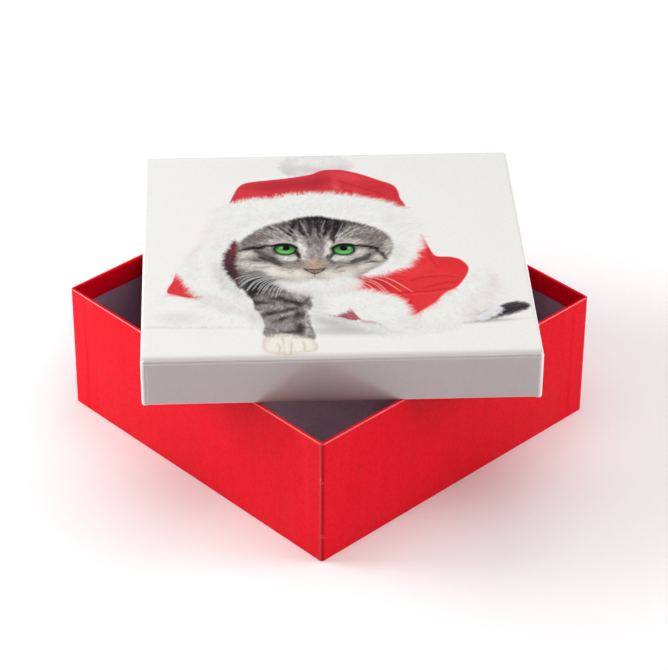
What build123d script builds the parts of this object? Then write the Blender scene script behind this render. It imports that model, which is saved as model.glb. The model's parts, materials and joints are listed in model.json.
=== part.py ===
"""A boxed jigsaw puzzle: a square rigid box with a lift-off lid, and a 36-piece puzzle inside.

Box and lid are set-up boxes: greyboard panels, butted at the corners and stayed with paper tape,
then covered with one sheet of paper that turns in over the open edge. The lid is turned and stands
on the box's rim. The puzzle lies assembled, picture side down, on the floor of the box.
Origin: centre of the underside. X and Y run along the sides of the box, Z points up. Millimetres.
"""

import os
from math import atan2, degrees, sqrt

from build123d import *

# Box
base_side = 240.0
base_height = 90.0
base_corner_radius = 2.2  # upright corners, outside the paper
board = 2.0  # greyboard panel
paper = 0.25  # laminated covering paper
turn_in = 15.0  # covering paper glued down inside the open edge
tape = 0.15  # corner stay tape, pressed flush into the board
tape_width = 18.0  # on each side of the corner

# Lid
lid_clearance = 1.2  # between the lid's lining and the box, on each side, when it is on straight
lid_height = 32.0
lid_corner_radius = 2.2  # upright corners and top edges, outside the paper
lid_turn = 48.8  # degrees, as it stands on the rim
lid_centre = (1.9, 2.6)
lid_side = base_side + 2 * (lid_clearance + board + 2 * paper)

# Puzzle
rows = 6
columns = 6
cell = 38.0
piece_thickness = 2.0
kerf = 0.1  # between neighbouring pieces
knob_radius = 4.7
neck_radius = 2.3  # the concave curve on each side of a knob's neck
knob_reach = 6.6  # from the straight side to the centre of the knob
knob_wander = 0.9  # step by which knobs sit off the middle of a side
neck_reach = sqrt((knob_radius + neck_radius) ** 2 - (knob_reach - neck_radius) ** 2)

os.makedirs("parts", exist_ok=True)


def keep(solid, name):
    """Labels a finished piece and writes it as one STEP file."""
    solid.label = name
    export_step(solid, f"parts/{name}.step")


# A tray is an open box on its own plane: local z = 0 is the outside of its closed face, and z = height
# is its open edge. The box is one tray, and the lid is another, upside down.


def envelope(tray, side, height, corner_radius, edge_radius):
    """A block that a tray's pieces fit into, rounded at its upright corners and round its closed face."""
    with BuildPart() as block:
        with BuildSketch(tray):
            RectangleRounded(side, side, corner_radius)
        extrude(amount=height)
        if edge_radius > 0:
            closed_face = block.faces().sort_by(Axis(tray.origin, tray.z_dir))[0]
            fillet(closed_face.edges(), radius=edge_radius)
    return block.part


def closed_panel(tray, side, name):
    """The board across the closed face, between the four walls."""
    across = side - 2 * (paper + board)
    with BuildPart() as panel:
        with BuildSketch(tray.offset(paper)):
            Rectangle(across, across)
        extrude(amount=board)
    keep(panel.part, name)


def stay_tape(tray, side, height, corner_radius, room, name):
    """A strip of tape round the corner at the lowest local x and y, as high as the walls."""
    edge = side / 2 - paper
    with BuildPart() as strip:
        with BuildSketch(tray.offset(paper)):
            with BuildLine():
                FilletPolyline(
                    (-edge, -edge + tape_width),
                    (-edge, -edge),
                    (-edge + tape_width, -edge),
                    radius=corner_radius - paper,
                )
                offset(amount=tape, side=Side.LEFT)
            make_face()
        extrude(amount=height - 2 * paper)
        add(room, mode=Mode.INTERSECT)
    keep(strip.part, name)
    return strip.part


def wall_board(tray, side, height, room, tapes, name):
    """The wall at the lowest local y. It laps the next wall's end at one corner, pinwheel fashion."""
    across = side - 2 * paper
    with BuildPart() as wall:
        with BuildSketch(tray.offset(paper)):
            with Locations((-board / 2, (board - across) / 2)):
                Rectangle(across - board, board)
        extrude(amount=height - 2 * paper)
        add(room, mode=Mode.INTERSECT)
        for strip in tapes:
            add(strip, mode=Mode.SUBTRACT)
    keep(wall.part, name)


def tray_walls(tray, side, height, corner_radius, edge_radius, prefix, wall_names):
    """Four walls and the tapes that stay their corners, in the room that the paper leaves them."""
    inside_edge = max(edge_radius - paper, 0)
    room = envelope(
        tray.offset(paper), side - 2 * paper, height - paper, corner_radius - paper, inside_edge
    )
    turned = [tray.rotated((0, 0, 90 * quarter)) for quarter in range(4)]
    tapes = []
    for number, plane in enumerate(turned, start=1):
        name = f"{prefix}_corner_tape_{number}"
        tapes.append(stay_tape(plane, side, height, corner_radius, room, name))
    for plane, wall_name in zip(turned, wall_names):
        wall_board(plane, side, height, room, tapes, f"{prefix}_{wall_name}")


def wrap(tray, side, height, corner_radius, edge_radius, covers_face, name):
    """The covering paper: the sides, the open edge and the turned-in strip, and maybe the closed face."""
    boards = side - 2 * paper
    mouth = boards - 2 * board
    start = 0 if covers_face else paper
    inside_edge = max(edge_radius - paper, 0)
    outside = envelope(tray.offset(start), side, height - start, corner_radius, edge_radius)
    room = envelope(
        tray.offset(paper), boards, height - 2 * paper, corner_radius - paper, inside_edge
    )
    with BuildPart() as sheet:
        add(outside)
        add(room, mode=Mode.SUBTRACT)
        with BuildSketch(tray.offset(height - turn_in)):
            Rectangle(mouth, mouth)
        extrude(amount=turn_in)
        with BuildSketch(tray.offset(height - turn_in)):
            Rectangle(mouth - 2 * paper, mouth - 2 * paper)
        extrude(amount=turn_in, mode=Mode.SUBTRACT)
    keep(sheet.part, name)


# Box

base = Plane.XY

with BuildPart() as underside_sheet:
    with BuildSketch(base):
        RectangleRounded(base_side, base_side, base_corner_radius)
    extrude(amount=paper)
keep(underside_sheet.part, "base_underside_sheet")

closed_panel(base, base_side, "base_floor_board")
tray_walls(
    base,
    base_side,
    base_height,
    base_corner_radius,
    0,
    "base",
    ["front_wall_board", "right_wall_board", "back_wall_board", "left_wall_board"],
)
wrap(base, base_side, base_height, base_corner_radius, 0, False, "base_wrap")

# Lid

lid = Plane(
    origin=(*lid_centre, base_height + lid_height),
    x_dir=Vector(1, 0, 0).rotate(Axis.Z, lid_turn),
    z_dir=(0, 0, -1),
)

closed_panel(lid, lid_side, "lid_top_board")
tray_walls(
    lid,
    lid_side,
    lid_height,
    lid_corner_radius,
    lid_corner_radius,
    "lid",
    ["skirt_board_1", "skirt_board_2", "skirt_board_3", "skirt_board_4"],
)
wrap(lid, lid_side, lid_height, lid_corner_radius, lid_corner_radius, True, "lid_wrap")

# Puzzle. Every inner side has one knob, and the piece on its other side has the matching socket.
# Sides run anticlockwise round a piece, so its outside is on their right.

neck_angle = degrees(atan2(knob_reach - neck_radius, neck_reach))


def knob(growth):
    """A knob with its foot on the seam, pointing along +Y, and grown all round by growth."""
    neck = neck_radius - growth
    with BuildSketch() as face:
        with BuildLine():
            CenterArc((-neck_reach, neck_radius), neck, -90, 90 + neck_angle)
            CenterArc((0, knob_reach), knob_radius + growth, 180 + neck_angle, -180 - 2 * neck_angle)
            CenterArc((neck_reach, neck_radius), neck, 180 - neck_angle, 90 + neck_angle)
            Line((neck_reach, growth), (-neck_reach, growth))
        make_face()
    return face.sketch


tab = knob(-kerf / 2)
socket = knob(kerf / 2)


def seam_sign(row, column, upright):
    """+1 where the knob of an inner seam points towards +X or +Y, -1 where it points back."""
    return 1 if (5 * row * row + 3 * column * column + 4 * row * column + 2 * upright) % 7 < 4 else -1


def seam_shift(row, column, upright):
    """How far along the seam its knob sits from the middle."""
    return ((3 * row + 2 * column + row * column + 2 * upright) % 5 - 2) * knob_wander


def puzzle_piece(row, column):
    """The piece in this row, counted along Y, and this column, counted along X, both from 0."""
    x = (column - (columns - 1) / 2) * cell
    y = (row - (rows - 1) / 2) * cell
    # Its sides with a neighbour: the seam's row and column, whether the seam stands upright, and
    # which way the neighbour lies.
    seams = []
    if column < columns - 1:
        seams.append((row, column, True, 1))
    if column > 0:
        seams.append((row, column - 1, True, -1))
    if row < rows - 1:
        seams.append((row, column, False, 1))
    if row > 0:
        seams.append((row - 1, column, False, -1))

    with BuildPart() as piece:
        with BuildSketch(Plane.XY.offset(paper + board)):
            with Locations((x, y)):
                Rectangle(cell - kerf, cell - kerf)
            for seam_row, seam_column, upright, side in seams:
                sign = seam_sign(seam_row, seam_column, upright)
                shift = seam_shift(seam_row, seam_column, upright)
                if upright:
                    foot = (x + side * cell / 2, y + shift)
                    heading = -90 * sign
                else:
                    foot = (x + shift, y + side * cell / 2)
                    heading = 90 - 90 * sign
                with Locations(Location(foot, heading)):
                    if sign == side:
                        add(tab)
                    else:
                        add(socket, mode=Mode.SUBTRACT)
        extrude(amount=piece_thickness)
    keep(piece.part, f"puzzle_piece_r{row + 1}_c{column + 1}")


for row in range(rows):
    for column in range(columns):
        puzzle_piece(row, column)
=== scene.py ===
"""The looks of the boxed jigsaw puzzle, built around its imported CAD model. Blender units are metres.

The greyboard and the tapes stay where the CAD has them. The covering papers are made again here with
folds, laps, cut edges and softened corners, and so are the puzzle pieces. The lid's picture is painted
by this script on a fine sheet that is the top of the lid's paper.
"""

import json
from math import atan2, cos, pi, radians, sin

import bpy
import numpy as np
from mathutils import Matrix, Vector


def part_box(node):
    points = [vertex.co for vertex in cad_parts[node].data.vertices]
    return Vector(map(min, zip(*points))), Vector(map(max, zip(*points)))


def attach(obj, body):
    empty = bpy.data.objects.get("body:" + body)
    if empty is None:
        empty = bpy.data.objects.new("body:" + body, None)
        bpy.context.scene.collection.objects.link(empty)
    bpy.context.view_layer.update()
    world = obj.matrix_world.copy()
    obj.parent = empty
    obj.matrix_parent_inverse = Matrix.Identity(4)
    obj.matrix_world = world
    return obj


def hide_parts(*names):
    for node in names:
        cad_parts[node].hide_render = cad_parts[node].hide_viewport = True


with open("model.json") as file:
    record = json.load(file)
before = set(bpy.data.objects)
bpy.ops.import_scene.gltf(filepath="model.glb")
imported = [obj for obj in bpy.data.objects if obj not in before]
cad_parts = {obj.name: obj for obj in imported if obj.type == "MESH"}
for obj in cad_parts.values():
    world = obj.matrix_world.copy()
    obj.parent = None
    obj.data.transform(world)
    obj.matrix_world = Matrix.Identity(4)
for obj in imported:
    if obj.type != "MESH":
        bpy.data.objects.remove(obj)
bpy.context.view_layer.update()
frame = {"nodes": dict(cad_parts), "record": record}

MM = 0.001
nodes = frame["nodes"]

# ---------------------------------------------------------------- sizes from the frame

base_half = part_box("base_wrap")[1].x
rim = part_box("base_wrap")[1].z
floor_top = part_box("base_floor_board")[1].z

mounts = {mount["name"]: mount for mount in frame["record"]["mounts"]}
lid_centre = Vector(mounts["lid_top"]["pos_m"])
lid_top = lid_centre.z
lid_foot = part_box("lid_wrap")[0].z

BOARD = 2.0 * MM
PAPER = 0.25 * MM
TURN_IN = 15 * MM
BASE_CORNER = 2.2 * MM
LID_CORNER = 2.2 * MM

corners = [vertex.co for vertex in nodes["lid_top_board"].data.vertices]
east = max(corners, key=lambda co: co.x)
south = min(corners, key=lambda co: co.y)
lid_turn = atan2(east.y - south.y, east.x - south.x)
lid_half = Vector((east.x - south.x, east.y - south.y)).length / 2 + BOARD + PAPER

base_place = Matrix.Identity(4)
lid_place = Matrix.Translation((lid_centre.x, lid_centre.y, 0)) @ Matrix.Rotation(lid_turn, 4, "Z")


# ---------------------------------------------------------------- material helpers


class Graph:
    """A material's nodes. An input is a value, or another node's socket to link."""

    def __init__(self, name):
        self.material = bpy.data.materials.new(name)
        self.material.use_nodes = True
        self.tree = self.material.node_tree
        self.tree.nodes.clear()

    def add(self, kind, inputs=None, **settings):
        """A node of a kind, with its inputs by name or number."""
        node = self.tree.nodes.new("ShaderNode" + kind)
        for key, value in settings.items():
            setattr(node, key, value)
        for key, value in (inputs or {}).items():
            if isinstance(value, bpy.types.NodeSocket):
                self.tree.links.new(value, node.inputs[key])
            else:
                node.inputs[key].default_value = value
        return node

    def place(self, turn=0.0):
        """Where the point is on the piece itself, in metres, turned back about Z by turn."""
        place = self.add("TexCoord").outputs["Object"]
        if turn:
            place = self.add("Mapping", {"Vector": place, "Rotation": (0, 0, -turn)}).outputs[0]
        return place

    def scaled(self, vector, scale):
        """A place or direction with each axis scaled."""
        return self.add("Mapping", {"Vector": vector, "Scale": scale}).outputs[0]

    def noise(self, vector, scale, detail=2.0, rough=0.5, distortion=0.0):
        """Cloudy noise about 0.5. Its scale is in cells to a metre, or to a unit of a scaled place."""
        inputs = {"Vector": vector, "Scale": scale, "Detail": detail}
        inputs.update({"Roughness": rough, "Distortion": distortion})
        return self.add("TexNoise", inputs).outputs["Fac"]

    def math(self, operation, first, second=0.0, clamp=False):
        """One sum on one or two numbers."""
        inputs = {0: first, 1: second}
        return self.add("Math", inputs, operation=operation, use_clamp=clamp).outputs[0]

    def remap(self, value, low, high, to_low=0.0, to_high=1.0):
        """Turns low to high into to_low to to_high, and goes no further than those."""
        inputs = {"Value": value, "From Min": low, "From Max": high, "To Min": to_low, "To Max": to_high}
        return self.add("MapRange", inputs).outputs["Result"]

    def mix(self, factor, first, second, blend="MIX"):
        """The first colour mixed with the second, by the blend's rule, as much as factor says."""
        inputs = {0: factor, 6: first, 7: second}
        return self.add("Mix", inputs, data_type="RGBA", blend_type=blend).outputs[2]

    def attribute(self, name):
        """A number that the mesh carries on its points."""
        return self.add("Attribute", attribute_name=name).outputs["Fac"]

    def bump(self, height, distance, strength, below=None):
        """The normal of the surface with height times distance raised on it, over an earlier bump below."""
        inputs = {"Height": height, "Distance": distance, "Strength": strength}
        if below is not None:
            inputs["Normal"] = below
        return self.add("Bump", inputs).outputs["Normal"]

    def finish(self, **inputs):
        """The Principled surface, with inputs by name, underscores standing for spaces."""
        named = {key.replace("_", " "): value for key, value in inputs.items()}
        surface = self.add("BsdfPrincipled", named)
        self.add("OutputMaterial", {"Surface": surface.outputs[0]})
        return self.material


def tone(red, green, blue):
    """A display colour from 0 to 255 as the linear colour that Blender mixes."""
    linear = []
    for part in (red, green, blue):
        part /= 255
        linear.append(part / 12.92 if part <= 0.04045 else ((part + 0.055) / 1.055) ** 2.4)
    return (*linear, 1.0)


# ---------------------------------------------------------------- materials

RED_GRAIN = 0.55 * MM
LID_GRAIN = 0.6 * MM


def linen(graph, place, pitch, turn=0.0):
    """The height of a fine pressed linen grain: threads across each axis that lies in the surface."""
    normal = graph.add("TexCoord").outputs["Normal"]
    if turn:
        normal = graph.add("Mapping", {"Vector": normal, "Rotation": (0, 0, -turn)}).outputs[0]
    facing = graph.add("SeparateXYZ", {"Vector": normal}).outputs
    total = 0.0
    for axis in range(3):
        scale = [0.25 / pitch] * 3
        scale[axis] = 1.2 / pitch
        thread = graph.noise(graph.scaled(place, scale), 1.0, detail=1.0)
        shown = graph.math("SUBTRACT", 1.0, graph.math("ABSOLUTE", facing[axis]))
        total = graph.math("ADD", total, graph.math("MULTIPLY", thread, shown))
    return total


def worn(graph, place, colour, core):
    """Lays the paper's white inside over colour on its cut edges, and in a few rubbed nicks."""
    fibre = graph.noise(place, 900.0, detail=4.0, rough=0.7)
    patch = graph.noise(place, 90.0, detail=2.0)
    rubbed = graph.math("MULTIPLY", graph.attribute("corner_wear_and_shading"), graph.remap(patch, 0.64, 0.72))
    rubbed = graph.math("MULTIPLY", rubbed, graph.remap(fibre, 0.5, 0.62))
    torn = graph.math("MULTIPLY", graph.attribute("cut"), graph.remap(fibre, 0.2, 0.6, 0.3, 0.8))
    bare = graph.math("MAXIMUM", rubbed, torn, clamp=True)
    return graph.mix(bare, colour, core)


def red_paper():
    """Red linen-grained paper, glossier where it folds over the rim, and paler there as a painted
    highlight.
    """
    graph = Graph("red_paper")
    place = graph.place()
    grain = linen(graph, place, RED_GRAIN)
    blotch = graph.noise(place, 22.0, detail=3.0)
    streak = graph.noise(graph.scaled(place, (110.0, 110.0, 4.0)), 1.0, detail=1.0)
    fibre = graph.noise(place, 2600.0, detail=2.0)
    fold = graph.attribute("fold")
    colour = graph.mix(graph.remap(blotch, 0.3, 0.7), tone(232, 0, 26), tone(238, 2, 34))
    colour = graph.mix(graph.remap(streak, 0.45, 0.75, 0.0, 0.35), colour, tone(218, 0, 20))
    colour = graph.mix(graph.remap(grain, 1.02, 1.3, 0.0, 0.6), colour, tone(250, 20, 52))
    colour = graph.mix(graph.remap(grain, 0.98, 0.7, 0.0, 0.6), colour, tone(206, 0, 14))
    # Painted shade: darker red over the outer rounding of each upright corner.
    colour = graph.mix(graph.math("MULTIPLY", graph.attribute("corner_wear_and_shading"), 0.45), colour, tone(178, 0, 14))
    # Painted highlight: pale pink along the rim's outer fold and on a streak round each upright corner.
    colour = graph.mix(graph.math("MULTIPLY", fold, 0.55), colour, tone(255, 128, 124))
    colour = worn(graph, place, colour, tone(240, 150, 150))
    uneven = graph.math("ADD", graph.math("MULTIPLY", grain, 0.8), fibre)
    normal = graph.bump(uneven, 0.03 * MM, 0.6)
    normal = graph.bump(streak, 0.06 * MM, 0.3, below=normal)
    dull = graph.remap(graph.math("ADD", blotch, fibre), 0.7, 1.3, 0.38, 0.48)
    return graph.finish(
        Base_Color=colour,
        Roughness=graph.math("SUBTRACT", dull, graph.math("MULTIPLY", fold, 0.16)),
        Normal=normal,
        Specular_IOR_Level=graph.remap(fold, 0.0, 1.0, 0.08, 0.9),
    )


def greyboard(name, dark, light, warm):
    """Bare recycled board: purplish grey, with pressed fibres and darker and paler flecks."""
    graph = Graph(name)
    place = graph.place()
    cloud = graph.noise(place, 35.0, detail=4.0)
    fibres = graph.noise(graph.scaled(place, (1500.0, 420.0, 900.0)), 1.0, detail=4.0, rough=0.65)
    fleck = graph.add("TexVoronoi", {"Vector": place, "Scale": 650.0, "Randomness": 1.0})
    speck = graph.remap(fleck.outputs["Distance"], 0.0, 0.22, 1.0, 0.0)
    kept = graph.math("GREATER_THAN", graph.noise(place, 190.0), 0.6)
    speck = graph.math("MULTIPLY", speck, kept)
    colour = graph.mix(graph.remap(cloud, 0.3, 0.7), dark, light)
    colour = graph.mix(graph.remap(fibres, 0.42, 0.72, 0.0, 0.45), colour, warm)
    colour = graph.mix(graph.math("MULTIPLY", speck, 0.35), colour, tone(92, 74, 84))
    normal = graph.bump(fibres, 0.05 * MM, 0.6)
    return graph.finish(
        Base_Color=colour, Roughness=graph.remap(fibres, 0.3, 0.7, 0.78, 0.95), Normal=normal
    )


def kraft_tape():
    """Brown paper tape with fibres along it."""
    graph = Graph("kraft_tape")
    place = graph.place()
    fibres = graph.noise(graph.scaled(place, (900.0, 900.0, 140.0)), 1.0, detail=4.0)
    colour = graph.mix(graph.remap(fibres, 0.35, 0.65), tone(176, 140, 98), tone(202, 168, 124))
    return graph.finish(Base_Color=colour, Roughness=0.8, Normal=graph.bump(fibres, 0.04 * MM, 0.5))


PAPER_WHITE = (246, 244, 240)
# The lid's sides in a darker, more violet white than its top: painted shade.
SHADED_SIDE_WHITE = (203, 190, 192)
# The top's painted shade towards the front edge: its grey, and how far in from the edge it starts.
FRONT_SHADE_GREY = (206, 197, 198)
FRONT_SHADE_REACH = 7.0 * MM


def lid_paper(name, printed):
    """Satin white paper. Where it is printed, its colour is painted on the mesh, as print.

    The sides are painted a darker, more violet white than the top, as painted shade, and the top has a
    painted shade towards the front edge, over its last 7 mm and the fold. Its folds at the foot and round
    the outer corners have a painted highlight.
    """
    graph = Graph(name)
    place = graph.place(lid_turn)
    grain = linen(graph, place, LID_GRAIN, lid_turn)
    fibre = graph.noise(place, 2600.0, detail=2.0)
    sway = graph.noise(place, 30.0, detail=1.0)
    # The printed top carries the picture; the unprinted sides are painted in the shaded white.
    if printed:
        colour = graph.add("Attribute", attribute_name="print").outputs["Color"]
    else:
        colour = tone(*SHADED_SIDE_WHITE)
    along, height = (graph.add("SeparateXYZ", {"Vector": place}).outputs[axis] for axis in "YZ")
    fold_start = lid_top - LID_CORNER
    # The fold over the top takes the top's white, above the sides' painted shade.
    if not printed:
        above = graph.remap(height, fold_start - 0.5 * MM, fold_start + 0.5 * MM)
        colour = graph.mix(above, colour, tone(*PAPER_WHITE))
    shade = graph.remap(grain, 0.75, 1.25, 0.96, 1.015)
    colour = graph.mix(1.0, colour, shade, blend="MULTIPLY")
    # Painted shade: greyer towards the front edge, over the top's last 7 mm and the fold.
    front = (Matrix.Rotation(-lid_turn, 4, "Z") @ lid_centre).y - lid_half
    front_shade = graph.remap(along, front + FRONT_SHADE_REACH, front + 1.0 * MM)
    front_shade = graph.math("MULTIPLY", front_shade, graph.remap(height, fold_start, fold_start + 1.0 * MM))
    colour = graph.mix(front_shade, colour, tone(*FRONT_SHADE_GREY), blend="MULTIPLY")
    # Painted highlight: near-white along the fold at the foot and over each corner's outer rounding.
    painted_highlight = graph.math("MAXIMUM", graph.attribute("fold"), graph.attribute("corner_wear_and_shading"))
    colour = graph.mix(graph.math("MULTIPLY", painted_highlight, 0.8), colour, tone(250, 249, 246))
    colour = worn(graph, place, colour, tone(252, 250, 246))
    uneven = graph.math("ADD", graph.math("MULTIPLY", grain, 0.6), fibre)
    normal = graph.bump(uneven, 0.02 * MM, 0.5)
    normal = graph.bump(sway, 0.5 * MM, 0.25, below=normal)
    return graph.finish(
        Base_Color=colour,
        Roughness=graph.remap(fibre, 0.3, 0.7, 0.13, 0.21),
        Normal=normal,
        Specular_IOR_Level=0.4 if printed else 0.75,
    )


def puzzle_print(graph, place):
    """The puzzle's picture as it shows in patches: red cloth and white fur on a pale ground."""
    patch = graph.noise(place, 11.0, detail=3.0, distortion=0.6)
    hairs = graph.noise(graph.scaled(place, (900.0, 160.0, 400.0)), 1.0, detail=3.0)
    white = graph.mix(graph.remap(hairs, 0.3, 0.7), tone(226, 223, 219), tone(245, 243, 240))
    red = graph.mix(graph.remap(hairs, 0.35, 0.7), tone(206, 44, 56), tone(226, 62, 72))
    return graph.mix(graph.remap(patch, 0.54, 0.56), white, red)


def puzzle_board():
    """Greyboard backs, the picture's white-coated side, and cut sides that show both."""
    graph = Graph("puzzle_board")
    place = graph.place()
    cloud = graph.noise(place, 45.0, detail=4.0)
    fibres = graph.noise(graph.scaled(place, (420.0, 1500.0, 900.0)), 1.0, detail=4.0, rough=0.65)
    back = graph.mix(graph.remap(cloud, 0.3, 0.7), tone(206, 176, 192), tone(216, 187, 202))
    back = graph.mix(graph.remap(fibres, 0.42, 0.72, 0.0, 0.45), back, tone(226, 200, 213))
    height = graph.add("SeparateXYZ", {"Vector": place}).outputs["Z"]
    coated = graph.remap(height, floor_top + 0.25 * MM, floor_top + 0.45 * MM, 1.0, 0.0)
    # Painted shade: darker along the back's small edge, where the pieces meet.
    back = graph.mix(graph.math("MULTIPLY", graph.attribute("cut"), 0.45), back, tone(112, 88, 104))
    colour = graph.mix(coated, back, puzzle_print(graph, place))
    normal = graph.bump(fibres, 0.05 * MM, 0.6)
    return graph.finish(
        Base_Color=colour, Roughness=graph.remap(coated, 0.0, 1.0, 0.88, 0.35), Normal=normal
    )


RED = red_paper()
GREY = greyboard("greyboard", tone(168, 134, 158), tone(180, 146, 169), tone(194, 162, 183))
TAPE = kraft_tape()
PUZZLE = puzzle_board()
# LID_PAPER is the lid's paper round its sides, painted in a shaded white; PICTURE is its printed top.
LID_PAPER = lid_paper("lid_paper", False)
PICTURE = lid_paper("printed_paper", True)


def paint(name, material):
    """Gives a CAD node one material."""
    data = nodes[name].data
    data.materials.clear()
    data.materials.append(material)


for name in nodes:
    if "tape" in name:
        paint(name, TAPE)
    elif "board" in name:
        paint(name, GREY)


# ---------------------------------------------------------------- covering papers
#
# A cover is a profile, its section across one wall, swept round the square with its rounded corners.
# The profile is a closed loop of points: how far in from the wall's outer face, how high, how much the
# laps under the paper lift it there (0 or 1), whether it is a cut edge (0 or 1), and how sharply the
# paper is folded over an edge there (0 to 1), which sets the painted highlight along the fold, and on the
# box its gloss too.
#
# SKIN is how thick the paper is made, FOLD the radius of its folds over the board's edges, and
# INNER_RADIUS the least radius in the box's and the lid's inner corners. Each upright outer corner has a
# painted highlight, a paler streak: CORNER_GLINT is its strength, and GLINT_PLACE how far round the
# corner it is.
# DROOP_REACH is how far up from its foot a hanging tip of paper is pulled, CUT_REACH how far in from a cut
# edge its white inside can show, CREASE_DEPTH the depth of the score line under the lid's top edge, and
# INNER_FACE how far in from a wall's outer face its inner one is.

SKIN = 0.22 * MM
FOLD = 0.8 * MM
INNER_RADIUS = 0.4 * MM
CORNER_STEPS = 8
CORNER_GLINT = 0.45
GLINT_PLACE = 0.2
DROOP_REACH = 4 * MM
CUT_REACH = 0.2 * MM
CREASE_DEPTH = 0.025 * MM
INNER_FACE = BOARD + 2 * PAPER


def arc(inset, height, radius, start, end, steps, lift=0, fold=0):
    """Points of a profile's rounded fold, about a centre, by angle: 0 is outwards and 90 is up."""
    points = []
    for step in range(steps + 1):
        angle = radians(start + (end - start) * step / steps)
        # A fold's painted highlight is strongest halfway round it.
        sharp = fold * sin(pi * step / steps) ** 2
        points.append((inset - radius * cos(angle), height + radius * sin(angle), lift, 0, sharp))
    return points


def flat(inset, height, lift=0, cut=0):
    """One point of a profile where the paper isn't folded."""
    return (inset, height, lift, cut, 0)


def side_places(half, marks, spacing):
    """Places along a side: evenly spaced ones, and one at each mark's distance from either end."""
    reach = half - marks[0]
    plain = np.linspace(-reach, reach, int(2 * reach / spacing) + 1)
    near = np.array([half - mark for mark in marks])
    return np.unique(np.concatenate([plain, near, -near]).round(7))


def new_piece(name, points, faces, material, floats=None, colours=None, crease=40):
    """A mesh object of world points, smooth but where it turns by more than crease degrees."""
    mesh = bpy.data.meshes.new(name)
    mesh.from_pydata([tuple(point) for point in points], [], faces)
    for key, values in (floats or {}).items():
        mesh.attributes.new(key, "FLOAT", "POINT").data.foreach_set("value", values)
    if colours is not None:
        layer = mesh.attributes.new("print", "FLOAT_COLOR", "POINT")
        layer.data.foreach_set("color", colours)
    mesh.materials.append(material)
    mesh.shade_smooth()
    mesh.set_sharp_from_angle(angle=radians(crease))
    mesh.validate()
    piece = bpy.data.objects.new(name, mesh)
    bpy.context.scene.collection.objects.link(piece)
    return piece


def cover(name, place, half, radius, profile, places, relief, droop, material):
    """Sweeps the profile round the square, through places on each side and round each corner.

    relief(side, along) is how far the laps lift the paper and whether it is cut there, and
    droop(side, along) how far its foot hangs.
    """
    reach = half - radius
    foot = min(point[1] for point in profile)
    points = []
    cut = []
    corner_wear_and_shading = []
    fold = []

    def ring(turn, at, blend, lifts, droops):
        """One section: along a straight wall where blend is None, or partway round a corner."""
        for inset, height, weight, edge, sharp in profile:
            bend = max(radius - inset, INNER_RADIUS)
            middle = half - inset - bend
            lift = float(weight * lifts[0])
            if blend is None:
                spot = Vector((at * middle / reach, -middle - bend - lift, 0))
            else:
                angle = (blend - 1) * pi / 2
                spot = Vector((middle, -middle, 0))
                spot += (bend + lift) * Vector((cos(angle), sin(angle), 0))
            spot.z = height - droops * weight * max(0.0, 1 - abs(height - foot) / DROOP_REACH)
            points.append(place @ (turn @ spot))
            cut.append(max(edge, weight * lifts[1]))
            # Marks a corner's outer rounding: its worn nicks, the box's painted shade and the lid's painted
            # highlight.
            outside = blend is not None and inset < radius
            corner_wear_and_shading.append(1.0 if outside else 0.0)
            if blend is None:
                fold.append(sharp)
            else:
                # A streak of painted highlight a little way round each outer corner.
                glint = max(0.0, 1 - abs(blend - GLINT_PLACE) / GLINT_PLACE) if outside else 0.0
                fold.append(max(0.4 * sharp, CORNER_GLINT * glint))

    for side in range(4):
        turn = Matrix.Rotation(side * pi / 2, 4, "Z")
        for at in places:
            ring(turn, at, None, relief(side, at), droop(side, at))
        last = relief(side, reach)
        first = relief((side + 1) % 4, -reach)
        for step in range(1, CORNER_STEPS):
            blend = step / CORNER_STEPS
            lifts = (last[0] * (1 - blend) + first[0] * blend, 0.0)
            ring(turn, reach, blend, lifts, droop(side, reach))

    count = len(profile)
    total = len(points) // count
    faces = []
    for one in range(total):
        other = (one + 1) % total
        for low in range(count):
            high = (low + 1) % count
            faces.append(
                (one * count + low, other * count + low, other * count + high, one * count + high)
            )
    return new_piece(name, points, faces, material, {"cut": cut, "corner_wear_and_shading": corner_wear_and_shading, "fold": fold})


def no_droop(side, along):
    """The box's paper hangs nowhere."""
    return 0.0


def base_relief(side, along):
    """The front and back papers stop 2.6 mm short of the corners, over the flaps of the side papers.

    What is under the paper near a corner ends in two soft steps, 14 mm and 24 mm from it, on all sides.
    """
    gap = (base_half - abs(along)) / MM
    under = np.interp(gap, (13, 15, 23, 25), (0.0, -0.2, -0.2, -0.35))
    if side % 2:
        return (under * MM, 0.0)
    lap = np.interp(gap, (2.5, 2.7), (-0.2, 0.0))
    return ((under + lap) * MM, np.interp(gap, (2.5, 2.6, 2.7), (0, 1, 0)))


TURNED_UNDER = 13 * MM
BASE_FOOT = 0.05 * MM
BASE_MARKS = [BASE_CORNER] + [mark * MM for mark in (2.5, 2.6, 2.7, 3.2, 12, 13, 15, 16, 22, 23, 25, 26)]


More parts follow.
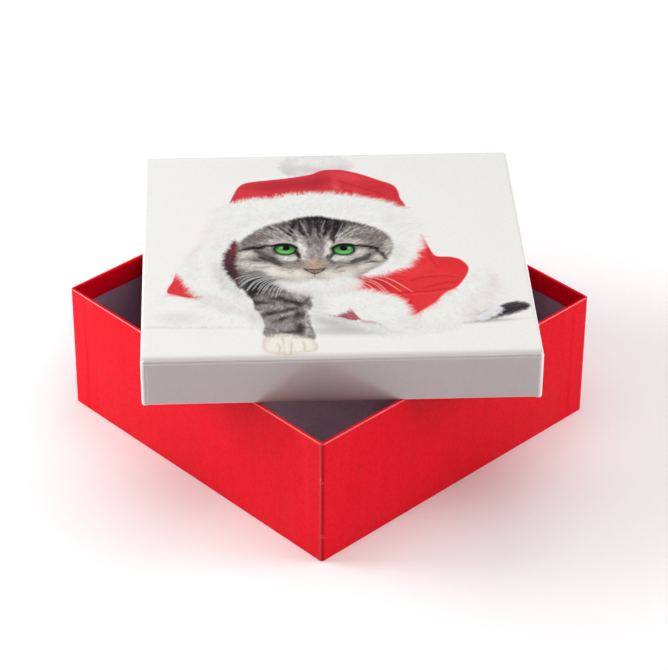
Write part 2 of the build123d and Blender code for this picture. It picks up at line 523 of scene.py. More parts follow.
def base_cover():
    """The red paper on the box: turned under its foot, up its sides, over the rim and in."""
    inner = INNER_FACE
    mouth = rim - TURN_IN
    turned = TURNED_UNDER
    foot = BASE_FOOT
    profile = [flat(turned, foot + SKIN, cut=1), flat(turned, foot, cut=1), flat(turned - CUT_REACH, foot)]
    profile += arc(FOLD, foot + FOLD, FOLD, -90, 0, 4)[:-1]
    profile.append(flat(0.0, foot + FOLD, lift=1))
    profile += [flat(0.0, height, lift=1) for height in np.linspace(3 * MM, rim - 2 * MM, 9)]
    profile += arc(FOLD, rim - FOLD, FOLD, 0, 90, 6, fold=1)
    profile += arc(inner - FOLD, rim - FOLD, FOLD, 90, 180, 5)
    profile += [flat(inner, mouth + CUT_REACH), flat(inner, mouth, cut=1)]
    profile += [flat(inner - SKIN, mouth, cut=1), flat(inner - SKIN, mouth + CUT_REACH)]
    profile += arc(inner - FOLD, rim - FOLD, FOLD - SKIN, 180, 90, 3)
    profile += arc(FOLD, rim - FOLD, FOLD - SKIN, 90, 0, 3)
    profile += arc(FOLD, foot + FOLD, FOLD - SKIN, 0, -90, 3)
    places = side_places(base_half, BASE_MARKS, 6 * MM)
    piece = cover(
        "base_cover", base_place, base_half, BASE_CORNER, profile, places, base_relief, no_droop, RED
    )
    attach(piece, "base")
    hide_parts("base_wrap")


SHEET_INSET = 3.0 * MM
SHEET_TRIM = 2.5 * MM


def underside_sheet():
    """The sheet pasted under the base, over the cover's turned edges, with trimmed corners.

    It is made in levels: how far in from its edge, and how high.
    """
    levels = [(0.05 * MM, 0.0), (0.0, 0.06 * MM), (0.0, PAPER)]
    points = []
    for edge, height in levels:
        reach = base_half - SHEET_INSET - edge
        short = reach - SHEET_TRIM
        for turn in range(4):
            spin = Matrix.Rotation(turn * pi / 2, 4, "Z")
            points.append(spin @ Vector((short, -reach, height)))
            points.append(spin @ Vector((reach, -short, height)))
    faces = [tuple(range(8))[::-1], tuple(range(16, 24))]
    for low in (0, 8):
        for one in range(8):
            other = (one + 1) % 8
            faces.append((low + one, low + other, low + 8 + other, low + 8 + one))
    piece = new_piece("underside_sheet", points, faces, RED)
    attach(piece, "base")
    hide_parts("base_underside_sheet")


def lid_relief(side, along):
    """The front and back papers stop 3.8 mm short of one corner, and 2.6 mm short of the other."""
    gap = (lid_half - abs(along)) / MM
    under = np.interp(gap, (13, 15), (0.0, -0.05))
    if side % 2:
        return (under * MM, 0.0)
    start = 3.6 if along < 0 else 2.4
    lap = np.interp(gap, (start, start + 0.4), (-0.18, 0.0))
    return ((under + lap) * MM, np.interp(gap, (start, start + 0.2, start + 0.4), (0, 1, 0)))


def lid_droop(side, along):
    """The paper's tips hang 0.7 mm below the corners."""
    gap = (lid_half - abs(along)) / MM
    return float(np.interp(gap, (LID_CORNER / MM, 4.5), (0.7, 0.0))) * MM


LID_MARKS = [LID_CORNER] + [
    mark * MM for mark in (2.4, 2.6, 2.8, 3.2, 3.6, 3.8, 4.0, 4.5, 6, 12, 13, 15, 16)
]


def lid_cover():
    """The lid's paper without its flat top: the top's folds, the sides with a crease below them, and in."""
    inner = INNER_FACE
    mouth = lid_foot + TURN_IN
    profile = arc(FOLD, lid_foot + FOLD, FOLD, -90, 0, 5, lift=1, fold=1)
    profile += [flat(0.0, height, lift=1) for height in np.linspace(lid_foot + 3 * MM, lid_top - 6 * MM, 5)]
    crease = lid_top - LID_CORNER - 1.0 * MM
    profile += [flat(0.0, crease - 0.5 * MM), flat(CREASE_DEPTH, crease), flat(0.0, crease + 0.5 * MM)]
    profile += arc(LID_CORNER, lid_top - LID_CORNER, LID_CORNER, 0, 90, 8)
    profile += arc(LID_CORNER, lid_top - LID_CORNER, LID_CORNER - SKIN, 90, 0, 4)
    profile += arc(FOLD, lid_foot + FOLD, FOLD - SKIN, 0, -90, 3)
    profile += arc(inner - FOLD, lid_foot + FOLD, FOLD - SKIN, -90, -180, 3)
    profile += [flat(inner - SKIN, mouth - CUT_REACH), flat(inner - SKIN, mouth, cut=1)]
    profile += [flat(inner, mouth, cut=1), flat(inner, mouth - CUT_REACH)]
    profile += arc(inner - FOLD, lid_foot + FOLD, FOLD, -180, -90, 5)
    places = side_places(lid_half, LID_MARKS, 8 * MM)
    piece = cover(
        "lid_cover", lid_place, lid_half, LID_CORNER, profile, places, lid_relief, lid_droop, LID_PAPER
    )
    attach(piece, "lid")
    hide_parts("lid_wrap")


base_cover()
underside_sheet()
lid_cover()

# ---------------------------------------------------------------- the lid's picture
#
# A kitten in a red hooded cape with white fur trim, on a white ground, painted here from shapes and hairs.
# Places are fractions of the lid's side: u to the right and v down, from the picture's top left corner.
# The canvas has CANVAS cells to the side. Hairs are laid in HAIR_LAYERS turns, each over the last.

CANVAS = 742
HAIR_LAYERS = 6


def curve(points, closed=False, steps=6):
    """A smooth line through points."""
    points = np.array(points, float)
    if closed:
        points = np.vstack([points[-1], points, points[:2]])
    else:
        points = np.vstack([2 * points[0] - points[1], points, 2 * points[-1] - points[-2]])
    line = []
    for before, start, end, after in zip(points, points[1:], points[2:], points[3:]):
        for step in range(steps):
            t = step / steps
            bend = 2 * before - 5 * start + 4 * end - after
            turn = 3 * (start - end) + after - before
            line.append(start + 0.5 * t * (end - before + t * (bend + t * turn)))
    if not closed:
        line.append(points[-2])
    return np.array(line)


def ramp(value, low, high):
    """A smooth step from 0 at low to 1 at high, which may be the lower of the two."""
    t = np.clip((value - low) / (high - low), 0, 1)
    return t * t * (3 - 2 * t)


class Painting:
    """A square canvas of linear colours."""

    def __init__(self, colour):
        line = (np.arange(CANVAS) + 0.5) / CANVAS
        self.true_u, self.true_v = np.meshgrid(line, line)
        self.colour = np.ones((CANVAS, CANVAS, 3)) * np.array(tone(*colour)[:3])
        self.ruffle(0.0)

    def ruffle(self, amount):
        """Makes what is drawn next uneven, by moving each place up to amount."""
        self.u, self.v = self.true_u, self.true_v
        if amount:
            sway_u = self.mottle(45, 101) + 0.6 * self.mottle(120, 102) - 0.8
            sway_v = self.mottle(45, 103) + 0.6 * self.mottle(120, 104) - 0.8
            self.u = self.true_u + amount * sway_u
            self.v = self.true_v + amount * sway_v

    def window(self, line, margin):
        """The part of the canvas that a line reaches, and a margin round it."""
        low = np.floor((line.min(0) - margin) * CANVAS).astype(int).clip(0, CANVAS)
        high = np.ceil((line.max(0) + margin) * CANVAS).astype(int).clip(0, CANVAS)
        return (slice(low[1], high[1]), slice(low[0], high[0]))

    def depth(self, points, margin=0.03):
        """How far each place is inside a closed outline, negative outside it."""
        line = curve(points, closed=True)
        part = self.window(line, margin)
        u, v = self.u[part], self.v[part]
        nearest = np.full(u.shape, margin**2)
        inside = np.zeros(u.shape, bool)
        for (u1, v1), (u2, v2) in zip(line, np.roll(line, -1, 0)):
            du, dv = u2 - u1, v2 - v1
            t = ((u - u1) * du + (v - v1) * dv) / (du * du + dv * dv + 1e-12)
            t = t.clip(0, 1)
            nearest = np.minimum(nearest, (u - u1 - t * du) ** 2 + (v - v1 - t * dv) ** 2)
            if dv:
                crosses = ((v1 > v) != (v2 > v)) & (u < u1 + (v - v1) * du / dv)
                inside ^= crosses
        depth = np.full(self.u.shape, -margin)
        depth[part] = np.where(inside, 1, -1) * np.sqrt(nearest)
        return depth

    def shape(self, points, soft=0.004):
        """A mask of a closed outline with soft edges."""
        return ramp(self.depth(points), -soft / 2, soft / 2)

    def lay(self, mask, colour):
        """Lays a display colour over what is there, as strongly as the mask says."""
        self.colour += mask[..., None] * (np.array(tone(*colour)[:3]) - self.colour)

    def shade(self, mask, factor):
        """Darkens or lightens by a factor, or by one factor for each of red, green and blue."""
        self.colour *= 1 + mask[..., None] * (np.array(factor) - 1)

    def keep_within(self, mask, before):
        """Takes back, outside the mask, all that was painted since the colours were before."""
        self.colour = before + mask[..., None] * (self.colour - before)

    def spot(self, u, v, wide, tall, turn=0.0):
        """A soft round mask, 1 at its middle, turned by degrees."""
        angle = radians(turn)
        du, dv = self.u - u, self.v - v
        along = (du * cos(angle) + dv * sin(angle)) / wide
        across = (dv * cos(angle) - du * sin(angle)) / tall
        return np.exp(-1.1 * (along**2 + across**2) ** 1.4)

    def lay_spots(self, rows, within=1.0):
        """A row is a spot's place, size and turn, its strength and its colour."""
        for *spot, strength, colour in rows:
            self.lay(strength * within * self.spot(*spot), colour)

    def shade_spots(self, rows):
        """A row is a spot's place, size and turn, and its factor."""
        for *spot, factor in rows:
            self.shade(self.spot(*spot), factor)

    def line(self, points, width, soft=0.002, tip=0.2):
        """A mask of a curved line that thins towards its ends."""
        path = curve(points, steps=5)
        part = self.window(path, width + soft)
        u, v = self.u[part], self.v[part]
        total = len(path) - 1
        mask = np.zeros(u.shape)
        for number, ((u1, v1), (u2, v2)) in enumerate(zip(path, path[1:])):
            du, dv = u2 - u1, v2 - v1
            t = (((u - u1) * du + (v - v1) * dv) / (du * du + dv * dv + 1e-12)).clip(0, 1)
            away = np.sqrt((u - u1 - t * du) ** 2 + (v - v1 - t * dv) ** 2)
            along = (number + t) / total
            half = width / 2 * (tip + (1 - tip) * np.sqrt(np.sin(pi * along.clip(0.02, 0.98))))
            mask = np.maximum(mask, ramp(half - away, -soft / 2, soft / 2))
        whole = np.zeros(self.u.shape)
        whole[part] = mask
        return whole

    def lay_lines(self, rows, colour, soft=0.002, tip=0.2):
        """A row is a line's points, its width and its strength."""
        for points, width, strength in rows:
            self.lay(strength * self.line(points, width, soft, tip), colour)

    def shade_lines(self, rows, soft):
        """A row is a line's points, its width and its factor."""
        for points, width, factor in rows:
            self.shade(self.line(points, width, soft), factor)

    def mottle(self, cells, seed):
        """Smooth noise from 0 to 1, with so many cells to the side."""
        values = np.random.default_rng(seed).random((cells + 2, cells + 2))
        column, row = (self.true_u * cells).astype(int), (self.true_v * cells).astype(int)
        across = ramp(self.true_u * cells - column, 0, 1)
        down = ramp(self.true_v * cells - row, 0, 1)
        top = values[row, column] * (1 - across) + values[row, column + 1] * across
        low = values[row + 1, column] * (1 - across) + values[row + 1, column + 1] * across
        return top * (1 - down) + low * down

    def clumped(self, heading, cells, seed, amount=1.1):
        """The heading, swayed the same way for hairs that stand close together."""
        return heading + amount * (self.mottle(cells, seed) + self.mottle(2 * cells, seed + 1) - 1)

    def speckle(self, dark, pale):
        """Breaks up a coat with small dark and pale flecks."""
        self.shade(dark * ramp(self.mottle(190, 9), 0.45, 0.9), 0.62)
        self.shade(pale * ramp(self.mottle(230, 10), 0.55, 0.95), 1.45)

    def radial(self, u, v, twist=0.0):
        """The heading away from a place, in radians."""
        return np.arctan2(self.v - v, self.u - u) + twist

    def fur(self, mask, heading, length, count, contrast, seed, spread=0.25, strength=0.8):
        """Combs hairs through the mask. Each takes its colour where its root is."""
        rng = np.random.default_rng(seed)
        chance = np.cumsum(mask.ravel())
        roots = np.searchsorted(chance, rng.random(count) * chance[-1]).clip(0, mask.size - 1)
        row, column = np.divmod(roots, CANVAS)
        shade = np.exp(rng.normal(0, contrast, count))
        colour = (self.colour[row, column] * shade[:, None]).clip(0, 0.93)
        heading = np.broadcast_to(heading, mask.shape)[row, column]
        angle = heading + rng.normal(0, spread, count)
        curl = rng.normal(0, 0.4, count)
        reach = length * CANVAS * rng.uniform(0.5, 1.3, count)
        u = column + rng.random(count)
        v = row + rng.random(count)
        steps = max(4, int(length * CANVAS * 1.3) + 2)
        along = np.linspace(0, 1, steps)
        for layer in range(HAIR_LAYERS):
            pick = slice(layer, None, HAIR_LAYERS)
            stride = (reach[pick] / steps)[:, None]
            bent = angle[pick][:, None] + curl[pick][:, None] * along
            across = (u[pick][:, None] + np.cumsum(np.cos(bent), 1) * stride).ravel() - 0.5
            down = (v[pick][:, None] + np.cumsum(np.sin(bent), 1) * stride).ravel() - 0.5
            weight = (strength * 1.3 * stride * (1 - along**2)).ravel()
            paints = np.repeat(colour[pick], steps, 0)
            self.splat(across, down, weight, paints)

    def splat(self, across, down, weight, paints):
        """Spreads each hair's points over the four cells round them, and lays the result."""
        column, row = np.floor(across).astype(int), np.floor(down).astype(int)
        right, under = across - column, down - row
        x = np.concatenate([column, column + 1, column, column + 1]).clip(0, CANVAS - 1)
        y = np.concatenate([row, row, row + 1, row + 1]).clip(0, CANVAS - 1)
        index = y * CANVAS + x
        shares = [(1 - right) * (1 - under), right * (1 - under), (1 - right) * under, right * under]
        share = np.concatenate(shares) * np.tile(weight, 4)
        amount = np.bincount(index, share, CANVAS * CANVAS)
        paints = np.tile(paints, (4, 1)) * share[:, None]
        sums = [np.bincount(index, paints[:, channel], CANVAS * CANVAS) for channel in range(3)]
        cover = amount.clip(0, 1).reshape(CANVAS, CANVAS, 1)
        mean = (np.stack(sums, 1) / (amount[:, None] + 1e-9)).reshape(CANVAS, CANVAS, 3)
        self.colour += cover * (mean - self.colour)

    def at(self, u, v):
        """The colours at places between the canvas's cells."""
        x = (u * CANVAS - 0.5).clip(0, CANVAS - 1.001)
        y = (v * CANVAS - 0.5).clip(0, CANVAS - 1.001)
        column, row = x.astype(int), y.astype(int)
        right, under = (x - column)[:, None], (y - row)[:, None]
        top = self.colour[row, column] * (1 - right) + self.colour[row, column + 1] * right
        low = self.colour[row + 1, column] * (1 - right) + self.colour[row + 1, column + 1] * right
        return top * (1 - under) + low * under


FUR_WHITE = (244, 243, 239)


def paint_ground(art):
    """The soft shadows that the kitten and its cape throw on the white ground, and a slight darkening along
    its right edge.
    """
    art.shade_spots((
        (0.52, 0.880, 0.13, 0.020, 2, 0.70),
        (0.50, 0.84, 0.09, 0.035, 4, 0.82),
        (0.17, 0.848, 0.15, 0.008, 1, 0.72),
        (0.86, 0.846, 0.09, 0.008, -4, 0.60),
        (0.72, 0.885, 0.06, 0.008, -3, 0.93),
        (0.37, 0.975, 0.08, 0.008, 0, 0.93),
    ))
    art.shade(ramp(art.u, 0.985, 1.0), 0.97)


def paint_pompom(art):
    """The white pompom behind the hood, greyer and pinker below."""
    ball = ramp(art.spot(0.467, 0.066, 0.094, 0.058), 0.28, 0.42)
    heading = art.radial(0.467, 0.085)
    art.lay(ball, (235, 234, 233))
    art.shade(ball * art.spot(0.395, 0.080, 0.026, 0.050), (0.87, 0.84, 0.85))
    art.shade(ball * art.spot(0.450, 0.088, 0.050, 0.022), (0.93, 0.87, 0.88))
    art.shade(ball * art.spot(0.530, 0.080, 0.035, 0.026), (0.93, 0.87, 0.88))
    art.lay(0.7 * ball * art.spot(0.455, 0.042, 0.050, 0.020), (246, 246, 246))
    art.shade(ball * ramp(art.mottle(60, 64), 0.45, 0.8), 0.93)
    art.fur(ball, art.clumped(heading, 60, 9), 0.020, 6000, 0.05, 1, spread=0.25, strength=0.6)


def paint_hood(art):
    """The red hood above the face, with the folds that fall from its tip."""
    dome = art.shape([
        (0.195, 0.300), (0.222, 0.268), (0.238, 0.215), (0.252, 0.172), (0.270, 0.150), (0.300, 0.140),
        (0.350, 0.132), (0.410, 0.120), (0.455, 0.106), (0.480, 0.088), (0.510, 0.083), (0.545, 0.088),
        (0.590, 0.110), (0.640, 0.145), (0.672, 0.168), (0.685, 0.195), (0.690, 0.240), (0.700, 0.295),
        (0.640, 0.300), (0.450, 0.260), (0.300, 0.270),
    ])
    before = art.colour.copy()
    art.lay(dome, (224, 60, 70))
    art.shade_spots((
        (0.37, 0.165, 0.13, 0.030, -8, (0.72, 0.70, 0.74)),
        (0.47, 0.150, 0.030, 0.045, 30, (0.80, 0.78, 0.82)),
        (0.28, 0.20, 0.04, 0.06, -60, (1.06, 1.2, 1.16)),
        (0.545, 0.115, 0.05, 0.02, 25, (1.05, 1.35, 1.3)),
        (0.52, 0.175, 0.012, 0.03, -30, (1.04, 1.3, 1.25)),
        (0.64, 0.19, 0.06, 0.025, 38, (0.88, 0.76, 0.80)),
        (0.52, 0.165, 0.012, 0.045, -8, (1.10, 1.5, 1.4)),
        (0.47, 0.215, 0.12, 0.010, 3, (0.80, 0.70, 0.75)),
    ))
    art.shade_lines((
        ([(0.50, 0.130), (0.56, 0.165), (0.62, 0.205), (0.665, 0.240)], 0.008, (0.84, 0.72, 0.76)),
        ([(0.50, 0.140), (0.53, 0.175), (0.56, 0.205)], 0.006, (0.86, 0.75, 0.78)),
        ([(0.27, 0.150), (0.36, 0.138), (0.45, 0.118)], 0.005, (1.04, 1.25, 1.2)),
        ([(0.58, 0.135), (0.62, 0.170), (0.67, 0.220)], 0.006, (1.03, 1.2, 1.16)),
    ), soft=0.010)
    art.shade(art.mottle(90, 3) * art.mottle(23, 4), (0.90, 0.82, 0.84))
    art.keep_within(dome, before)
    art.shade(dome * ramp(art.v, 0.19, 0.30), (0.90, 0.86, 0.88))


def paint_cape(art):
    """The red cloth on the right, its folds, and the patch of it on the left."""
    cloth = art.shape([
        (0.733, 0.425), (0.741, 0.455), (0.752, 0.500), (0.765, 0.535), (0.800, 0.540), (0.826, 0.553),
        (0.842, 0.580), (0.845, 0.605), (0.834, 0.640), (0.818, 0.672), (0.800, 0.700), (0.770, 0.740),
        (0.735, 0.785), (0.682, 0.830), (0.640, 0.780), (0.560, 0.720), (0.500, 0.700), (0.520, 0.640),
        (0.600, 0.590), (0.680, 0.560), (0.705, 0.500), (0.715, 0.450),
    ])
    before = art.colour.copy()
    art.lay(cloth, (236, 57, 62))
    art.shade_spots((
        (0.80, 0.575, 0.05, 0.03, 40, (0.98, 0.85, 0.9)),
        (0.70, 0.60, 0.05, 0.03, -20, (1.03, 1.3, 1.25)),
        (0.60, 0.655, 0.06, 0.03, 30, (0.80, 0.62, 0.66)),
        (0.74, 0.75, 0.04, 0.03, -50, (1.02, 1.2, 1.15)),
    ))
    art.shade_lines((
        ([(0.62, 0.712), (0.68, 0.707), (0.74, 0.703), (0.79, 0.690)], 0.006, (0.72, 0.5, 0.55)),
        ([(0.64, 0.720), (0.70, 0.716), (0.76, 0.708)], 0.006, (1.05, 1.5, 1.4)),
        ([(0.69, 0.655), (0.72, 0.638), (0.77, 0.632), (0.82, 0.642)], 0.007, (0.78, 0.58, 0.62)),
        ([(0.70, 0.645), (0.74, 0.628), (0.79, 0.622)], 0.006, (1.05, 1.5, 1.4)),
        ([(0.72, 0.690), (0.77, 0.668), (0.815, 0.660)], 0.010, (0.84, 0.66, 0.7)),
        ([(0.742, 0.480), (0.750, 0.540), (0.765, 0.590)], 0.006, (0.84, 0.68, 0.72)),
        ([(0.733, 0.470), (0.735, 0.530), (0.745, 0.570)], 0.004, (1.05, 1.45, 1.35)),
        ([(0.63, 0.610), (0.665, 0.620), (0.68, 0.626)], 0.005, (1.06, 1.6, 1.5)),
        ([(0.69, 0.730), (0.68, 0.770), (0.69, 0.800)], 0.008, (0.85, 0.7, 0.74)),
    ), soft=0.008)
    art.shade(art.mottle(90, 5) * art.mottle(31, 6), (0.92, 0.84, 0.86))
    art.keep_within(cloth, before)
    patch = art.shape([
        (0.089, 0.592), (0.083, 0.612), (0.077, 0.640), (0.067, 0.665), (0.065, 0.688), (0.080, 0.700),
        (0.110, 0.712), (0.150, 0.722), (0.175, 0.715), (0.160, 0.690), (0.130, 0.660), (0.105, 0.620),
    ], soft=0.003)
    art.lay(patch, (226, 60, 68))
    art.shade(patch * ramp(art.v, 0.69, 0.72), (0.85, 0.75, 0.78))


def paint_trim(art):
    """The long white fur of the hood and of the cape's hem."""
    left = art.shape([
        (0.200, 0.300), (0.176, 0.370), (0.150, 0.445), (0.118, 0.520), (0.097, 0.590), (0.112, 0.640),
        (0.140, 0.690), (0.180, 0.735), (0.250, 0.790), (0.310, 0.830), (0.318, 0.780), (0.290, 0.720),
        (0.262, 0.665), (0.232, 0.625), (0.214, 0.570), (0.222, 0.505), (0.262, 0.440), (0.320, 0.380),
        (0.300, 0.300), (0.250, 0.260),
    ], soft=0.016)
    ring = art.shape([
        (0.205, 0.290), (0.245, 0.255), (0.300, 0.242), (0.370, 0.228), (0.430, 0.215), (0.490, 0.216),
        (0.560, 0.230), (0.620, 0.252), (0.665, 0.278), (0.702, 0.310), (0.725, 0.370), (0.728, 0.440),
        (0.716, 0.505), (0.700, 0.552), (0.665, 0.592), (0.610, 0.612), (0.560, 0.625), (0.600, 0.575),
        (0.655, 0.500), (0.640, 0.425), (0.580, 0.370), (0.470, 0.335), (0.370, 0.350), (0.290, 0.405),
        (0.240, 0.465), (0.190, 0.400),
    ], soft=0.010)
    left_fluff = art.shape([
        (0.062, 0.695), (0.045, 0.735), (0.050, 0.790), (0.070, 0.828), (0.150, 0.840), (0.270, 0.846),
        (0.320, 0.850), (0.315, 0.790), (0.260, 0.745), (0.190, 0.715), (0.120, 0.715),
    ], soft=0.012)
    right_fluff = art.shape([
        (0.672, 0.835), (0.705, 0.800), (0.750, 0.755), (0.775, 0.715), (0.812, 0.685), (0.838, 0.645),
        (0.862, 0.605), (0.888, 0.603), (0.912, 0.655), (0.925, 0.715), (0.916, 0.765), (0.880, 0.803),
        (0.845, 0.828), (0.812, 0.838), (0.795, 0.865), (0.740, 0.882), (0.680, 0.890), (0.665, 0.865),
    ], soft=0.010)
    cuff = art.shape([
        (0.430, 0.705), (0.480, 0.695), (0.540, 0.694), (0.600, 0.712), (0.640, 0.730), (0.664, 0.762),
        (0.674, 0.810), (0.678, 0.850), (0.668, 0.890), (0.630, 0.902), (0.560, 0.865), (0.500, 0.835),
        (0.440, 0.800), (0.425, 0.750),
    ], soft=0.012)
    for mask in (ring, left, left_fluff, right_fluff, cuff):
        art.lay(mask, FUR_WHITE)
    art.shade_spots((
        (0.35, 0.325, 0.07, 0.018, -35, 0.95),
        (0.28, 0.36, 0.05, 0.02, -45, 0.95),
        (0.50, 0.29, 0.10, 0.015, 5, 0.97),
        (0.66, 0.36, 0.03, 0.07, -25, 0.94),
        (0.66, 0.52, 0.02, 0.05, 10, 0.90),
        (0.215, 0.44, 0.02, 0.06, 30, 0.92),
        (0.205, 0.60, 0.018, 0.07, -8, 0.80),
        (0.24, 0.68, 0.018, 0.06, -30, 0.82),
        (0.13, 0.58, 0.02, 0.05, 20, 0.95),
        (0.17, 0.70, 0.05, 0.02, 30, 0.90),
        (0.22, 0.755, 0.08, 0.018, 25, 0.86),
        (0.10, 0.80, 0.06, 0.025, 0, 0.88),
        (0.29, 0.80, 0.02, 0.05, -15, 0.86),
        (0.50, 0.835, 0.07, 0.030, 14, 0.74),
        (0.455, 0.76, 0.022, 0.06, 0, 0.85),
        (0.60, 0.87, 0.04, 0.025, 20, 0.86),
        (0.655, 0.84, 0.018, 0.05, 0, 0.93),
        (0.83, 0.76, 0.02, 0.06, 25, (0.94, 0.92, 0.93)),
        (0.88, 0.72, 0.02, 0.07, 5, (0.93, 0.90, 0.91)),
        (0.74, 0.86, 0.05, 0.02, -10, 0.93),
        (0.69, 0.83, 0.015, 0.05, 10, (0.93, 0.89, 0.90)),
        (0.85, 0.81, 0.05, 0.018, -15, 0.88),
        (0.135, 0.505, 0.014, 0.060, 22, (0.97, 0.91, 0.93)),
        (0.180, 0.400, 0.014, 0.060, 22, (0.97, 0.92, 0.94)),
        (0.215, 0.720, 0.040, 0.015, 30, (0.97, 0.91, 0.93)),
        (0.900, 0.660, 0.014, 0.060, -5, (0.96, 0.90, 0.92)),
        (0.860, 0.790, 0.040, 0.018, -30, (0.97, 0.91, 0.94)),
    ))
    fluff = art.shape([
        (0.175, 0.822), (0.205, 0.792), (0.235, 0.785), (0.262, 0.812), (0.275, 0.842), (0.200, 0.842),
    ], soft=0.012)
    art.lay(fluff, (245, 244, 241))
    furred = np.maximum.reduce([ring, left, left_fluff, right_fluff, cuff])
    art.shade(furred * ramp(art.mottle(70, 62) * art.mottle(150, 63), 0.30, 0.62), 0.92)
    tuft = 0.12 + art.mottle(60, 7) * art.mottle(140, 8)
    for mask, heading, length, count, contrast, seed in (
        (ring, art.radial(0.45, 0.50, 0.25), 0.026, 16000, 0.065, 11),
        (left, art.radial(0.42, 0.35, -0.2), 0.028, 9000, 0.060, 12),
        (left_fluff, art.radial(0.24, 0.66), 0.026, 8000, 0.040, 13),
        (right_fluff, art.radial(0.72, 0.58), 0.024, 10000, 0.060, 14),
        (cuff, art.radial(0.55, 0.80), 0.025, 9000, 0.060, 15),
    ):
        heading = art.clumped(heading, 48, seed + 50)
        art.fur(mask * tuft, heading, length, count, contrast, seed, spread=0.16, strength=0.6)
    paint_cuff_patch(art)


def paint_cuff_patch(art):
    """The bit of red cloth that shows inside the cuff, with white hairs over its edge."""
    patch = art.shape([
        (0.474, 0.806), (0.497, 0.799), (0.512, 0.786), (0.526, 0.772), (0.535, 0.788), (0.543, 0.808),
        (0.552, 0.830), (0.528, 0.828), (0.502, 0.816),
    ], soft=0.004)
    hem = art.line([(0.545, 0.828), (0.562, 0.840), (0.580, 0.844), (0.600, 0.853)], 0.014, soft=0.005)
    art.lay(0.9 * patch, (172, 54, 66))
    art.shade(patch * art.spot(0.507, 0.806, 0.010, 0.008), 0.75)
    art.lay(0.85 * hem, (170, 78, 86))
    above = art.line([(0.478, 0.800), (0.500, 0.790), (0.522, 0.770), (0.540, 0.790)], 0.006)
    below = art.line([(0.545, 0.836), (0.570, 0.848), (0.600, 0.858)], 0.006)
    art.lay(0.5 * np.maximum(above, below), FUR_WHITE)
    art.fur(above, 1.2, 0.014, 260, 0.05, 16, spread=0.4)
    art.fur(below, -1.2, 0.012, 200, 0.05, 17, spread=0.4)
    art.fur(np.maximum(patch, hem), 0.9, 0.008, 500, 0.25, 18, spread=0.4, strength=0.6)


def paint_tail(art):
    """The dark tail's brush, with the cape's white hairs over its near end."""
    brush = art.shape([
        (0.858, 0.836), (0.878, 0.812), (0.900, 0.786), (0.922, 0.769), (0.944, 0.763), (0.962, 0.767),
        (0.974, 0.776), (0.967, 0.791), (0.948, 0.808), (0.922, 0.821), (0.892, 0.830),
    ], soft=0.006)
    art.lay(brush, (74, 69, 73))
    art.shade(brush * art.spot(0.928, 0.795, 0.045, 0.014, -30), 0.55)
    art.fur(brush, -0.35, 0.016, 3200, 0.35, 21, spread=0.20, strength=0.8)
    art.fur(brush * ramp(art.u, 0.94, 0.97), 0.02, 0.018, 220, 0.3, 24, spread=0.25, strength=0.7)
    art.fur(brush * ramp(art.v, 0.79, 0.81), 2.7, 0.030, 700, 0.3, 22, spread=0.2, strength=0.6)
    fringe = art.line([(0.840, 0.834), (0.868, 0.814), (0.890, 0.794), (0.902, 0.778)], 0.014)
    art.lay(0.9 * fringe, (238, 234, 240))
    art.fur(fringe, art.clumped(0.35, 60, 25), 0.022, 900, 0.05, 23, spread=0.15)


TABBY = (140, 132, 128)
DARK = (40, 37, 40)


